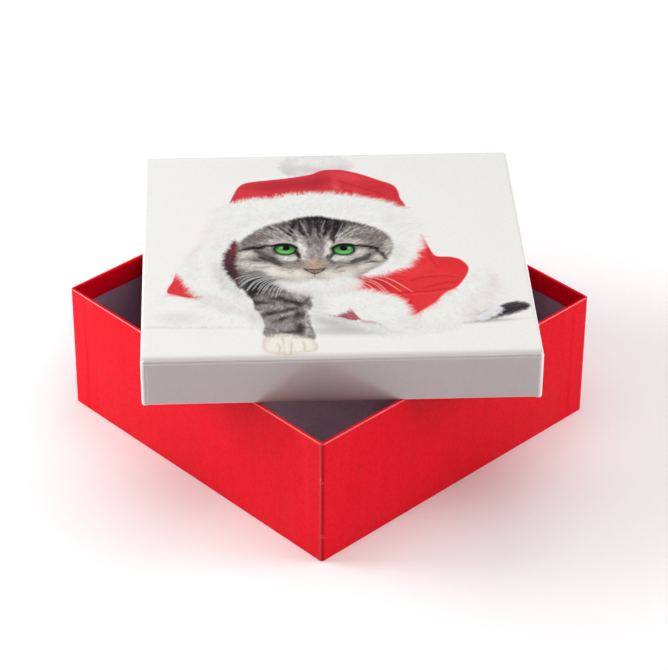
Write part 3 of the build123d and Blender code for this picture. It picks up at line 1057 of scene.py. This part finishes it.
def paint_body(art):
    """The hood's lining, the dark neck in its shade, the striped foreleg and its white paw."""
    art.ruffle(0.012)
    lining = art.shape([
        (0.236, 0.462), (0.252, 0.456), (0.262, 0.500), (0.262, 0.560), (0.300, 0.600), (0.320, 0.640),
        (0.300, 0.720), (0.275, 0.700), (0.250, 0.655), (0.224, 0.615), (0.211, 0.565), (0.218, 0.515),
    ], soft=0.008)
    art.lay(lining, (96, 52, 62))
    art.shade(lining * ramp(art.v, 0.50, 0.60), (0.50, 0.75, 0.70))
    art.shade(lining * art.spot(0.243, 0.485, 0.02, 0.03), (1.45, 0.9, 0.95))
    art.ruffle(0.0)
    art.fur(lining, art.radial(0.30, 0.55), 0.016, 2600, 0.35, 34, spread=0.3, strength=0.7)
    neck = art.shape([
        (0.262, 0.600), (0.300, 0.590), (0.400, 0.620), (0.440, 0.660), (0.432, 0.720), (0.420, 0.780),
        (0.300, 0.780), (0.284, 0.730), (0.262, 0.680), (0.248, 0.640),
    ], soft=0.010)
    leg = art.shape([
        (0.284, 0.700), (0.288, 0.745), (0.300, 0.790), (0.311, 0.840), (0.314, 0.895), (0.430, 0.910),
        (0.427, 0.850), (0.421, 0.790), (0.412, 0.745), (0.420, 0.690), (0.350, 0.660),
    ], soft=0.006)
    art.lay(neck, (104, 99, 99))
    art.lay(leg, (142, 136, 133))
    furred = np.maximum(neck, leg)
    art.ruffle(0.012)
    for *spot, strength in (
        (0.285, 0.655, 0.026, 0.040, 20, 0.95),
        (0.335, 0.662, 0.030, 0.012, 15, 0.75),
        (0.277, 0.700, 0.014, 0.020, 0, 0.9),
        (0.300, 0.690, 0.030, 0.014, 10, 0.95),
        (0.300, 0.738, 0.034, 0.012, 5, 0.95),
        (0.365, 0.728, 0.050, 0.014, 18, 0.9),
        (0.400, 0.745, 0.022, 0.012, 50, 0.9),
        (0.322, 0.788, 0.030, 0.012, -14, 1.0),
        (0.372, 0.772, 0.036, 0.011, -10, 0.95),
        (0.398, 0.800, 0.014, 0.020, 10, 0.85),
        (0.352, 0.818, 0.030, 0.011, -25, 0.9),
        (0.396, 0.862, 0.016, 0.034, 0, 0.95),
        (0.375, 0.880, 0.026, 0.008, 0, 0.8),
        (0.330, 0.860, 0.016, 0.016, 0, 0.4),
        (0.350, 0.690, 0.030, 0.010, 0, 0.7),
        (0.400, 0.690, 0.014, 0.014, 50, 0.7),
    ):
        art.lay(strength * furred * art.spot(*spot), DARK)
    art.lay_spots((
        (0.418, 0.820, 0.009, 0.075, 3, 0.85, (206, 196, 190)),
        (0.318, 0.830, 0.008, 0.040, -8, 0.6, (176, 170, 166)),
        (0.345, 0.845, 0.022, 0.022, 0, 0.5, (156, 151, 148)),
        (0.395, 0.715, 0.018, 0.008, 45, 0.7, (196, 190, 186)),
        (0.340, 0.757, 0.040, 0.005, -6, 0.6, (172, 166, 162)),
        (0.360, 0.797, 0.020, 0.005, -25, 0.6, (176, 170, 166)),
        (0.428, 0.700, 0.010, 0.014, 30, 0.8, (176, 104, 104)),
    ), furred)
    for v in (0.800, 0.828, 0.856):
        art.lay(0.7 * art.line([(0.404, v), (0.418, v + 0.004), (0.428, v + 0.010)], 0.006), (92, 84, 84))
    art.speckle(furred, furred)
    art.ruffle(0.0)
    art.fur(furred, art.radial(0.36, 0.30), 0.011, 13000, 0.30, 31, spread=0.25, strength=0.7)
    paint_paw(art)


def paint_paw(art):
    """The white paw and its toes."""
    paw = art.shape([
        (0.304, 0.925), (0.310, 0.898), (0.335, 0.886), (0.370, 0.886), (0.405, 0.898), (0.430, 0.915),
        (0.441, 0.942), (0.432, 0.964), (0.402, 0.970), (0.362, 0.980), (0.326, 0.971), (0.307, 0.955),
    ], soft=0.006)
    art.lay(paw, (243, 238, 227))
    middle = art.shape([
        (0.314, 0.925), (0.330, 0.900), (0.370, 0.893), (0.410, 0.905), (0.428, 0.935), (0.420, 0.955),
        (0.365, 0.966), (0.318, 0.955),
    ], soft=0.014)
    art.shade(paw * (1 - middle), (0.86, 0.80, 0.75))
    for points in (
        [(0.342, 0.925), (0.347, 0.945), (0.344, 0.966)],
        [(0.376, 0.915), (0.374, 0.945), (0.372, 0.973)],
        [(0.403, 0.918), (0.407, 0.942), (0.405, 0.962)],
        [(0.352, 0.900), (0.356, 0.925), (0.358, 0.968)],
    ):
        art.shade(art.line(points, 0.004, soft=0.006), (0.74, 0.66, 0.60))
    for u in (0.327, 0.360, 0.390, 0.420):
        art.lay(0.5 * art.spot(u, 0.945, 0.010, 0.022), (248, 244, 234))
    art.fur(paw, art.radial(0.37, 0.80), 0.009, 2600, 0.05, 32, spread=0.3, strength=0.5)
    art.fur(art.line([(0.315, 0.888), (0.365, 0.890), (0.420, 0.900)], 0.012), 1.5, 0.012, 500, 0.3, 33)


def paint_face(art):
    """The striped face: patches of colour, dark stripes, then hairs combed outwards from the nose."""
    face = art.shape([
        (0.390, 0.348), (0.420, 0.335), (0.465, 0.330), (0.500, 0.343), (0.540, 0.356), (0.580, 0.374),
        (0.615, 0.397), (0.642, 0.430), (0.652, 0.470), (0.648, 0.510), (0.636, 0.545), (0.614, 0.578),
        (0.580, 0.606), (0.545, 0.640), (0.505, 0.672), (0.455, 0.682), (0.410, 0.668), (0.365, 0.645),
        (0.315, 0.620), (0.280, 0.590), (0.260, 0.550), (0.248, 0.505), (0.252, 0.460), (0.280, 0.420),
        (0.315, 0.385), (0.350, 0.362),
    ], soft=0.008)
    before = art.colour.copy()
    art.lay(face, TABBY)
    art.ruffle(0.010)
    art.lay_spots((
        (0.300, 0.425, 0.060, 0.028, -38, 0.8, (120, 108, 104)),
        (0.600, 0.425, 0.050, 0.035, 40, 0.8, (134, 120, 114)),
        (0.640, 0.490, 0.012, 0.045, 8, 0.8, (198, 188, 178)),
        (0.470, 0.345, 0.095, 0.020, 5, 1.0, (42, 38, 41)),
        (0.478, 0.375, 0.062, 0.034, 0, 0.95, (54, 49, 52)),
        (0.395, 0.365, 0.045, 0.014, -30, 0.9, (66, 60, 62)),
        (0.560, 0.368, 0.040, 0.010, 25, 0.8, (74, 68, 70)),
        (0.450, 0.455, 0.040, 0.040, 0, 0.8, (128, 122, 120)),
        (0.397, 0.455, 0.010, 0.024, -22, 0.9, (206, 200, 194)),
        (0.506, 0.448, 0.009, 0.024, 15, 0.85, (206, 200, 194)),
        (0.418, 0.490, 0.012, 0.052, -6, 1.0, (232, 227, 220)),
        (0.482, 0.500, 0.011, 0.048, 5, 1.0, (232, 227, 220)),
        (0.450, 0.520, 0.018, 0.045, 0, 0.85, (172, 166, 161)),
        (0.447, 0.565, 0.024, 0.024, 0, 0.9, (190, 165, 142)),
        (0.355, 0.452, 0.042, 0.012, -14, 0.9, (204, 198, 192)),
        (0.545, 0.457, 0.036, 0.011, 10, 0.9, (204, 198, 192)),
        (0.388, 0.534, 0.036, 0.014, 14, 1.0, (233, 230, 224)),
        (0.512, 0.538, 0.034, 0.015, -10, 1.0, (233, 230, 224)),
        (0.560, 0.515, 0.024, 0.014, -40, 0.85, (218, 212, 205)),
        (0.310, 0.512, 0.024, 0.008, 28, 0.8, (212, 203, 193)),
        (0.275, 0.514, 0.020, 0.016, 10, 0.95, (224, 216, 205)),
        (0.290, 0.560, 0.030, 0.018, 25, 0.95, (230, 223, 213)),
        (0.345, 0.592, 0.055, 0.024, 28, 1.0, (234, 228, 218)),
        (0.395, 0.608, 0.055, 0.028, 5, 1.0, (233, 226, 215)),
        (0.500, 0.610, 0.055, 0.028, -12, 1.0, (233, 226, 215)),
        (0.585, 0.577, 0.045, 0.022, -30, 1.0, (229, 222, 212)),
        (0.612, 0.535, 0.020, 0.012, -30, 0.9, (220, 211, 200)),
        (0.445, 0.655, 0.080, 0.026, 0, 1.0, (242, 240, 236)),
        (0.510, 0.640, 0.045, 0.020, -30, 1.0, (240, 238, 234)),
    ))
    art.lay_lines((
        ([(0.402, 0.340), (0.398, 0.375), (0.394, 0.410), (0.400, 0.458)], 0.013, 0.9),
        ([(0.422, 0.340), (0.418, 0.370), (0.420, 0.400), (0.430, 0.442)], 0.013, 0.95),
        ([(0.440, 0.335), (0.440, 0.365), (0.441, 0.395), (0.444, 0.430)], 0.012, 0.85),
        ([(0.458, 0.335), (0.459, 0.370), (0.462, 0.400), (0.468, 0.445)], 0.012, 0.9),
        ([(0.478, 0.340), (0.484, 0.370), (0.484, 0.400), (0.480, 0.435)], 0.014, 0.95),
        ([(0.505, 0.345), (0.510, 0.380), (0.506, 0.415), (0.499, 0.465)], 0.018, 0.95),
        ([(0.528, 0.355), (0.524, 0.385), (0.512, 0.418)], 0.016, 0.9),
        ([(0.350, 0.370), (0.374, 0.395), (0.394, 0.428)], 0.009, 0.75),
        ([(0.325, 0.385), (0.350, 0.405), (0.370, 0.430)], 0.008, 0.55),
        ([(0.560, 0.370), (0.545, 0.395), (0.528, 0.425)], 0.008, 0.65),
        ([(0.585, 0.390), (0.570, 0.410), (0.556, 0.432)], 0.008, 0.45),
        ([(0.348, 0.470), (0.318, 0.475), (0.290, 0.484), (0.258, 0.496)], 0.015, 1.0),
        ([(0.556, 0.482), (0.585, 0.486), (0.607, 0.500), (0.622, 0.522)], 0.014, 1.0),
        ([(0.615, 0.505), (0.628, 0.526), (0.634, 0.545)], 0.010, 0.9),
        ([(0.300, 0.500), (0.320, 0.520), (0.338, 0.542), (0.362, 0.562)], 0.026, 0.80),
        ([(0.270, 0.530), (0.290, 0.538), (0.308, 0.542)], 0.009, 0.75),
        ([(0.585, 0.525), (0.562, 0.546), (0.532, 0.562)], 0.024, 0.70),
        ([(0.572, 0.562), (0.592, 0.553), (0.608, 0.557)], 0.009, 0.9),
        ([(0.402, 0.500), (0.409, 0.530), (0.402, 0.560)], 0.012, 0.85),
        ([(0.480, 0.525), (0.483, 0.550), (0.493, 0.566)], 0.012, 0.85),
        ([(0.370, 0.574), (0.384, 0.580), (0.398, 0.590)], 0.006, 0.8),
        ([(0.366, 0.588), (0.382, 0.594), (0.394, 0.602)], 0.005, 0.7),
        ([(0.376, 0.604), (0.390, 0.610)], 0.004, 0.5),
        ([(0.494, 0.592), (0.510, 0.584), (0.524, 0.579)], 0.006, 0.8),
        ([(0.492, 0.603), (0.508, 0.597), (0.520, 0.593)], 0.005, 0.65),
        ([(0.498, 0.614), (0.512, 0.608)], 0.004, 0.45),
        ([(0.262, 0.552), (0.285, 0.566), (0.312, 0.574), (0.340, 0.578)], 0.008, 0.45),
        ([(0.268, 0.578), (0.292, 0.592), (0.322, 0.600)], 0.008, 0.40),
        ([(0.285, 0.604), (0.312, 0.614), (0.340, 0.617)], 0.007, 0.35),
        ([(0.262, 0.520), (0.282, 0.522), (0.300, 0.530)], 0.007, 0.40),
        ([(0.560, 0.598), (0.586, 0.588), (0.612, 0.572)], 0.008, 0.35),
        ([(0.575, 0.580), (0.602, 0.568), (0.626, 0.552)], 0.008, 0.35),
        ([(0.330, 0.470), (0.300, 0.462), (0.270, 0.462)], 0.007, 0.4),
        ([(0.575, 0.470), (0.600, 0.470), (0.622, 0.480)], 0.007, 0.4),
    ), DARK, soft=0.006, tip=0.35)
    for number in range(9):
        lean = number / 8
        for side, start_u in ((-1, 0.402), (1, 0.498)):
            foot = (start_u + side * 0.035 * lean, 0.440 + 0.012 * lean)
            knee = (start_u + side * (0.03 + 0.06 * lean), 0.405 + 0.010 * lean)
            tip = (start_u + side * (0.05 + 0.10 * lean), 0.370 + 0.045 * lean)
            strength, colour = (0.45, (216, 210, 204)) if number % 2 else (0.3, DARK)
            art.lay(strength * art.line([foot, knee, tip], 0.006, soft=0.006), colour)
    brow = ramp(art.v, 0.585, 0.535)
    art.speckle(0.15 + 0.85 * brow, brow)
    art.ruffle(0.0)
    art.keep_within(face, before)
    outward = art.radial(0.447, 0.575)
    art.fur(face * brow, outward, 0.011, 24000, 0.30, 41, spread=0.18, strength=0.7)
    art.fur(face * (1 - brow), outward, 0.011, 9000, 0.10, 45, spread=0.2, strength=0.6)
    crown = face * ramp(art.v, 0.47, 0.38)
    art.fur(crown, outward, 0.014, 1300, 0.75, 42, spread=0.15, strength=0.5)
    chin = art.shape([
        (0.350, 0.640), (0.410, 0.655), (0.450, 0.660), (0.500, 0.655), (0.550, 0.635), (0.552, 0.668),
        (0.505, 0.698), (0.450, 0.708), (0.395, 0.690),
    ], soft=0.016)
    art.lay(0.9 * chin, (241, 239, 235))
    art.shade(chin * ramp(art.v, 0.665, 0.71), 0.9)
    art.fur(chin, art.radial(0.45, 0.52), 0.022, 6000, 0.07, 43, spread=0.3, strength=0.6)
    art.lay(0.65 * face * art.spot(0.254, 0.572, 0.022, 0.060, -12), (62, 52, 56))
    cheek = art.spot(0.272, 0.560, 0.018, 0.045) * ramp(art.u, 0.250, 0.268)
    art.lay(0.4 * cheek, (214, 207, 199))
    art.fur(cheek, 2.6, 0.024, 1500, 0.30, 44, spread=0.35, strength=0.6)
    paint_nose(art)
    paint_eye(art, 0.3725, 0.4895, 8, (0.362, 0.482), 1)
    paint_eye(art, 0.5250, 0.4955, -4, (0.540, 0.489), -1)


def paint_eye(art, u, v, turn, glint, side):
    """A green eye under a heavy lid: dark rim, iris that is paler below, pupil and glint."""
    angle = radians(turn)
    du, dv = art.u - u, art.v - v
    along = du * cos(angle) + dv * sin(angle)
    across = dv * cos(angle) - du * sin(angle)
    away = np.hypot(along, across * 1.08) / 0.0272
    art.lay(0.6 * ramp(away, 1.50, 1.12), (84, 76, 75))
    art.lay(ramp(away, 1.22, 1.06), (30, 26, 28))
    corner = [(u + side * 0.020, v + 0.012), (u + side * 0.031, v + 0.024), (u + side * 0.036, v + 0.040)]
    art.lay(0.85 * art.line(corner, 0.012, soft=0.005), (38, 33, 35))
    iris = ramp(away, 0.98, 0.88)
    spokes = 0.5 + 0.5 * np.sin(np.arctan2(across, along) * 31 + away * 7)
    art.lay(iris, (70, 156, 74))
    art.lay(0.8 * iris * ramp(across, 0.000, 0.016), (122, 208, 118))
    art.lay(0.22 * iris * spokes * ramp(away, 0.35, 0.65), (134, 222, 128))
    art.shade(iris * ramp(away, 0.66, 0.94), (0.34, 0.46, 0.34))
    art.shade(iris * ramp(across, 0.004, -0.014), (0.34, 0.42, 0.36))
    pupil = np.hypot((along - 0.001) / 0.0105, (across + 0.006) / 0.0130)
    art.lay(ramp(pupil, 1.08, 0.88), (14, 20, 15))
    art.lay(0.9 * iris * ramp(across, -0.013, -0.019), (24, 26, 22))
    shine = np.hypot((art.u - glint[0]) / 0.0048, (art.v - glint[1]) / 0.0028)
    art.lay(0.7 * ramp(shine, 1.3, 0.6), (206, 236, 206))
    rises = ((-0.036, 0.016), (-0.012, 0.0245), (0.014, 0.0215), (0.031, 0.006))
    brow = [(u + side * shift, v - rise) for shift, rise in rises]
    art.lay(art.line(brow, 0.0125, soft=0.004, tip=0.3), (30, 26, 28))
    crease = [(point[0], point[1] - 0.011) for point in brow]
    art.lay(0.75 * art.line(crease, 0.008, soft=0.006), (206, 200, 194))


def paint_nose(art):
    """The nose with its dark rim, and the mouth below it."""
    nose = art.shape([
        (0.421, 0.588), (0.433, 0.591), (0.447, 0.593), (0.461, 0.591), (0.472, 0.588), (0.466, 0.600),
        (0.456, 0.609), (0.445, 0.613), (0.435, 0.609), (0.427, 0.600),
    ], soft=0.003)
    art.lay(nose, (150, 118, 112))
    art.lay(0.5 * art.spot(0.446, 0.599, 0.012, 0.004), (184, 150, 142))
    art.lay_lines((
        ([(0.416, 0.583), (0.427, 0.588), (0.446, 0.591), (0.464, 0.588), (0.475, 0.583)], 0.005, 0.9),
        ([(0.418, 0.585), (0.424, 0.594), (0.430, 0.600)], 0.006, 0.8),
        ([(0.474, 0.585), (0.468, 0.594), (0.462, 0.600)], 0.006, 0.8),
        ([(0.434, 0.606), (0.445, 0.612), (0.456, 0.606)], 0.004, 0.7),
        ([(0.436, 0.602), (0.440, 0.605)], 0.004, 0.8),
        ([(0.456, 0.602), (0.452, 0.605)], 0.004, 0.8),
        ([(0.445, 0.594), (0.445, 0.604), (0.444, 0.617), (0.444, 0.626)], 0.003, 0.7),
        ([(0.420, 0.632), (0.433, 0.631), (0.444, 0.626), (0.456, 0.631), (0.468, 0.633)], 0.003, 0.30),
    ), (66, 46, 46))


def paint_whiskers(art):
    """White whiskers over the dark neck, pink ones over the red cape, and hairs above the eyes."""
    pale = (232, 229, 226)
    sway = np.random.default_rng(51)
    for number in range(15):
        share = number / 14
        start = (0.300 + 0.082 * share, 0.606 + 0.044 * share)
        end_u, end_v = 0.234 + 0.112 * share, 0.640 + 0.082 * share**0.7
        end = (end_u + sway.normal(0, 0.004), end_v + sway.normal(0, 0.006))
        middle = (0.42 * start[0] + 0.58 * end[0] - 0.003, 0.62 * start[1] + 0.38 * end[1])
        art.lay(sway.uniform(0.55, 0.9) * art.line([start, middle, end], 0.0024), pale)
    for start, middle, end in (
        ((0.548, 0.655), (0.568, 0.672), (0.586, 0.702)),
        ((0.552, 0.645), (0.580, 0.668), (0.604, 0.708)),
        ((0.558, 0.640), (0.596, 0.664), (0.626, 0.712)),
        ((0.566, 0.632), (0.604, 0.660), (0.632, 0.711)),
        ((0.574, 0.625), (0.622, 0.652), (0.664, 0.704)),
        ((0.588, 0.618), (0.640, 0.645), (0.693, 0.706)),
    ):
        art.lay(0.75 * art.line([start, middle, end], 0.0026), (246, 206, 198))
    for points in (
        [(0.402, 0.440), (0.385, 0.405), (0.358, 0.372)],
        [(0.396, 0.446), (0.372, 0.410), (0.345, 0.378)],
        [(0.406, 0.432), (0.396, 0.400), (0.378, 0.366)],
        [(0.508, 0.445), (0.532, 0.405), (0.566, 0.370)],
        [(0.504, 0.440), (0.518, 0.400), (0.530, 0.362)],
        [(0.514, 0.444), (0.545, 0.412), (0.578, 0.386)],
        [(0.430, 0.400), (0.420, 0.370), (0.416, 0.345)],
        [(0.470, 0.400), (0.476, 0.372), (0.482, 0.350)],
    ):
        art.lay(0.5 * art.line(points, 0.0020), pale)


def painted():
    """The finished painting, made from the back to the front."""
    art = Painting(PAPER_WHITE)
    paint_ground(art)
    paint_pompom(art)
    paint_hood(art)
    paint_cape(art)
    paint_trim(art)
    paint_tail(art)
    paint_body(art)
    paint_face(art)
    paint_whiskers(art)
    return art

PICTURE_CELLS = 488


def picture_sheet():
    """The flat top of the lid's paper, fine enough to carry the picture."""
    cells = PICTURE_CELLS
    half = lid_half - LID_CORNER
    line = np.linspace(-half, half, cells + 1)
    across, up = np.meshgrid(line, line)
    across = across.ravel()
    up = up.ravel()
    u = (across + lid_half) / (2 * lid_half)
    v = (lid_half - up) / (2 * lid_half)
    colours = np.ones((len(u) + 4, 4))
    colours[:-4, :3] = painted().at(u, v)
    colours[-4:, :3] = tone(*PAPER_WHITE)[:3]
    turn = np.array(lid_place.to_3x3())[:2, :2]
    flat = np.stack([across, up], 1) @ turn.T + np.array(lid_centre)[:2]
    points = np.column_stack([flat, np.full(len(flat), lid_top)])
    width = cells + 1
    start = np.arange(cells * width).reshape(cells, width)[:, :-1].ravel()
    faces = np.stack([start, start + 1, start + width + 1, start + width], 1).tolist()
    ends = [0, cells, cells * width, cells * width + cells]
    below = points[ends] - (0, 0, SKIN)
    points = np.vstack([points, below])
    first = len(flat)
    low = [first, first + 1, first + 3, first + 2]
    faces.append(low[::-1])
    front = list(range(0, cells + 1))
    right = [cells + row * width for row in range(width)]
    back = [cells * width + column for column in range(cells, -1, -1)]
    left = [row * width for row in range(cells, -1, -1)]
    for edge, one, other in ((front, 0, 1), (right, 1, 2), (back, 2, 3), (left, 3, 0)):
        faces.append([low[one], low[other]] + edge[::-1])
    piece = new_piece(
        "lid_picture", points, faces, PICTURE, {"cut": np.zeros(len(points))}, colours.ravel()
    )
    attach(piece, "lid")
    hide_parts("lid_wrap")


picture_sheet()

# ---------------------------------------------------------------- puzzle
#
# Each piece is made again on its CAD outline, with the die's pressed edge round the picture side, which
# lies face down, and a smaller edge round the back, darkened there as painted shade where the pieces meet.

DIE_EDGE = 0.35 * MM
DIE_STEP = 0.08 * MM
BACK_EDGE = 0.2 * MM


def outline(mesh):
    """The points round a flat piece's top face, in order, anticlockwise."""
    used = {}
    for face in mesh.polygons:
        if face.normal.z > 0.9:
            ring = list(face.vertices)
            used.update(dict.fromkeys(zip(ring, ring[1:] + ring[:1])))
    follow = {one: other for one, other in used if (other, one) not in used}
    start = next(iter(follow))
    line = [start]
    while follow[line[-1]] != start:
        line.append(follow[line[-1]])
    return [mesh.vertices[index].co.xy for index in line]


def inset(line, amount):
    """A closed line moved inwards by amount."""
    moved = []
    for before, point, after in zip(line[-1:] + line[:-1], line, line[1:] + line[:1]):
        back = (point - before).normalized()
        ahead = (after - point).normalized()
        along = (back + ahead).normalized()
        inward = Vector((-along.y, along.x))
        moved.append(point + inward * (amount / max(0.5, inward.dot(Vector((-back.y, back.x))))))
    return moved


def puzzle_piece(name):
    """A puzzle piece in levels: how high, how far in from its CAD outline, and whether it gets painted
    shade.
    """
    low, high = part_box(name)
    line = outline(nodes[name].data)
    levels = [
        (low.z, DIE_EDGE, 0),
        (low.z + DIE_STEP, 0.45 * DIE_EDGE, 0),
        (low.z + DIE_EDGE, 0.0, 0),
        (high.z - 0.8 * BACK_EDGE, 0.0, 1),
        (high.z - 0.2 * BACK_EDGE, 0.3 * BACK_EDGE, 1),
        (high.z, BACK_EDGE, 0),
    ]
    points = []
    cut = []
    for height, amount, dark in levels:
        points += [(*point, height) for point in inset(line, amount)]
        # Here the cut attribute carries the painted shade along the back's edge.
        cut += [dark] * len(line)
    count = len(line)
    faces = [list(range(count))[::-1], list(range((len(levels) - 1) * count, len(levels) * count))]
    for level_number in range(len(levels) - 1):
        start = level_number * count
        for one in range(count):
            other = (one + 1) % count
            faces.append((start + one, start + other, start + count + other, start + count + one))
    piece_name = name.replace("puzzle_piece", "piece")
    piece = new_piece(piece_name, points, faces, PUZZLE, {"cut": cut}, crease=15)
    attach(piece, name)
    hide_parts(name)


for name in nodes:
    if name.startswith("puzzle_piece"):
        puzzle_piece(name)

# ---------------------------------------------------------------- stage

CAMERA_AZIMUTH = radians(46.13)
CAMERA_ELEVATION = radians(33.91)
CAMERA_ROLL = radians(0.33)
CAMERA_DISTANCE = 1.829
CAMERA_AIM = Vector((0.0036, 0.0013, 0.0575))
CAMERA_LENS = 148.9
CAMERA_SENSOR = 36

# A light's name, its azimuth and elevation in degrees, its distance, its size in metres and its watts.
LIGHT_AIM = Vector((0, 0, 0.06))
LIGHTS = (
    ("key_left", -52, 26, 1.5, (0.9, 1.0), 17.8),
    ("low_left", -66, 8, 0.7, (0.25, 0.2), 1.3),
    ("fill_right", 137, 20, 1.8, (1.0, 1.2), 16.5),
    ("front", 47, 42, 1.9, (0.7, 0.5), 1),
    ("top", 95, 82, 1.9, (1.8, 1.8), 22.3),
)
WORLD_LIGHT = 0.05
BACKDROP_LIGHT = 0.85
FLOOR_HALF = 6.0


def around(azimuth, distance, elevation):
    """A place round the box, by azimuth as the views have it: 0 is in front, towards -Y."""
    turn = radians(azimuth)
    rise = radians(elevation)
    level = distance * cos(rise)
    return Vector((level * sin(turn), -level * cos(turn), distance * sin(rise)))


def aimed(place, aim, axis):
    """The matrix of something at place whose axis points at aim."""
    turn = (aim - place).to_track_quat(axis, "Y").to_matrix().to_4x4()
    return Matrix.Translation(place) @ turn


def add_camera():
    """The camera, where the photo's stood."""
    data = bpy.data.cameras.new("camera")
    data.lens = CAMERA_LENS
    data.sensor_width = CAMERA_SENSOR
    data.clip_end = 30
    camera = bpy.data.objects.new("camera", data)
    turn = CAMERA_AZIMUTH
    rise = CAMERA_ELEVATION
    back = Vector((sin(turn) * cos(rise), -cos(turn) * cos(rise), sin(rise)))
    place = CAMERA_AIM + back * CAMERA_DISTANCE
    camera.matrix_world = aimed(place, CAMERA_AIM, "-Z") @ Matrix.Rotation(CAMERA_ROLL, 4, "Z")
    bpy.context.scene.collection.objects.link(camera)
    bpy.context.scene.camera = camera


def floor_paint():
    """White, and faintly lit of itself away from the box, so that it stays pale in the lamps' fall-off."""
    graph = Graph("floor")
    away = graph.add("VectorMath", {0: graph.place()}, operation="LENGTH").outputs["Value"]
    near = graph.remap(away, 0.15, 0.5, 0.0, 0.2)
    far = graph.remap(away, 0.5, 2.0, 0.0, 0.6)
    return graph.finish(
        Base_Color=(0.98, 0.98, 0.98, 1.0),
        Roughness=0.7,
        Emission_Color=(1.0, 1.0, 1.0, 1.0),
        Emission_Strength=graph.math("ADD", near, far),
    )


def add_floor():
    """The wide pale floor that the box stands on."""
    mesh = bpy.data.meshes.new("floor")
    edge = FLOOR_HALF
    points = [(-edge, -edge, 0), (edge, -edge, 0), (edge, edge, 0), (-edge, edge, 0)]
    mesh.from_pydata(points, [], [(0, 1, 2, 3)])
    floor = bpy.data.objects.new("floor", mesh)
    bpy.context.scene.collection.objects.link(floor)
    mesh.materials.append(floor_paint())


def add_light(name, azimuth, elevation, distance, size, power):
    """A rectangular soft light that faces the puzzle's box."""
    data = bpy.data.lights.new(name, "AREA")
    data.shape = "RECTANGLE"
    data.size, data.size_y = size
    data.energy = power
    light = bpy.data.objects.new(name, data)
    light.matrix_world = aimed(around(azimuth, distance, elevation), LIGHT_AIM, "-Z")
    bpy.context.scene.collection.objects.link(light)


def add_world():
    """A faint even light, with a pale backdrop behind it for whoever looks along the floor."""
    world = bpy.data.worlds.new("world")
    world.use_nodes = True
    tree = world.node_tree
    seen = tree.nodes.new("ShaderNodeLightPath").outputs["Is Camera Ray"]
    strength = tree.nodes.new("ShaderNodeMapRange")
    strength.inputs["To Min"].default_value = WORLD_LIGHT
    strength.inputs["To Max"].default_value = BACKDROP_LIGHT
    tree.links.new(seen, strength.inputs["Value"])
    background = tree.nodes["Background"]
    background.inputs["Color"].default_value = (1, 1, 1, 1)
    tree.links.new(strength.outputs["Result"], background.inputs["Strength"])
    bpy.context.scene.world = world


add_camera()
add_floor()
for light in LIGHTS:
    add_light(*light)
add_world()
bpy.context.scene.view_settings.view_transform = "Standard"
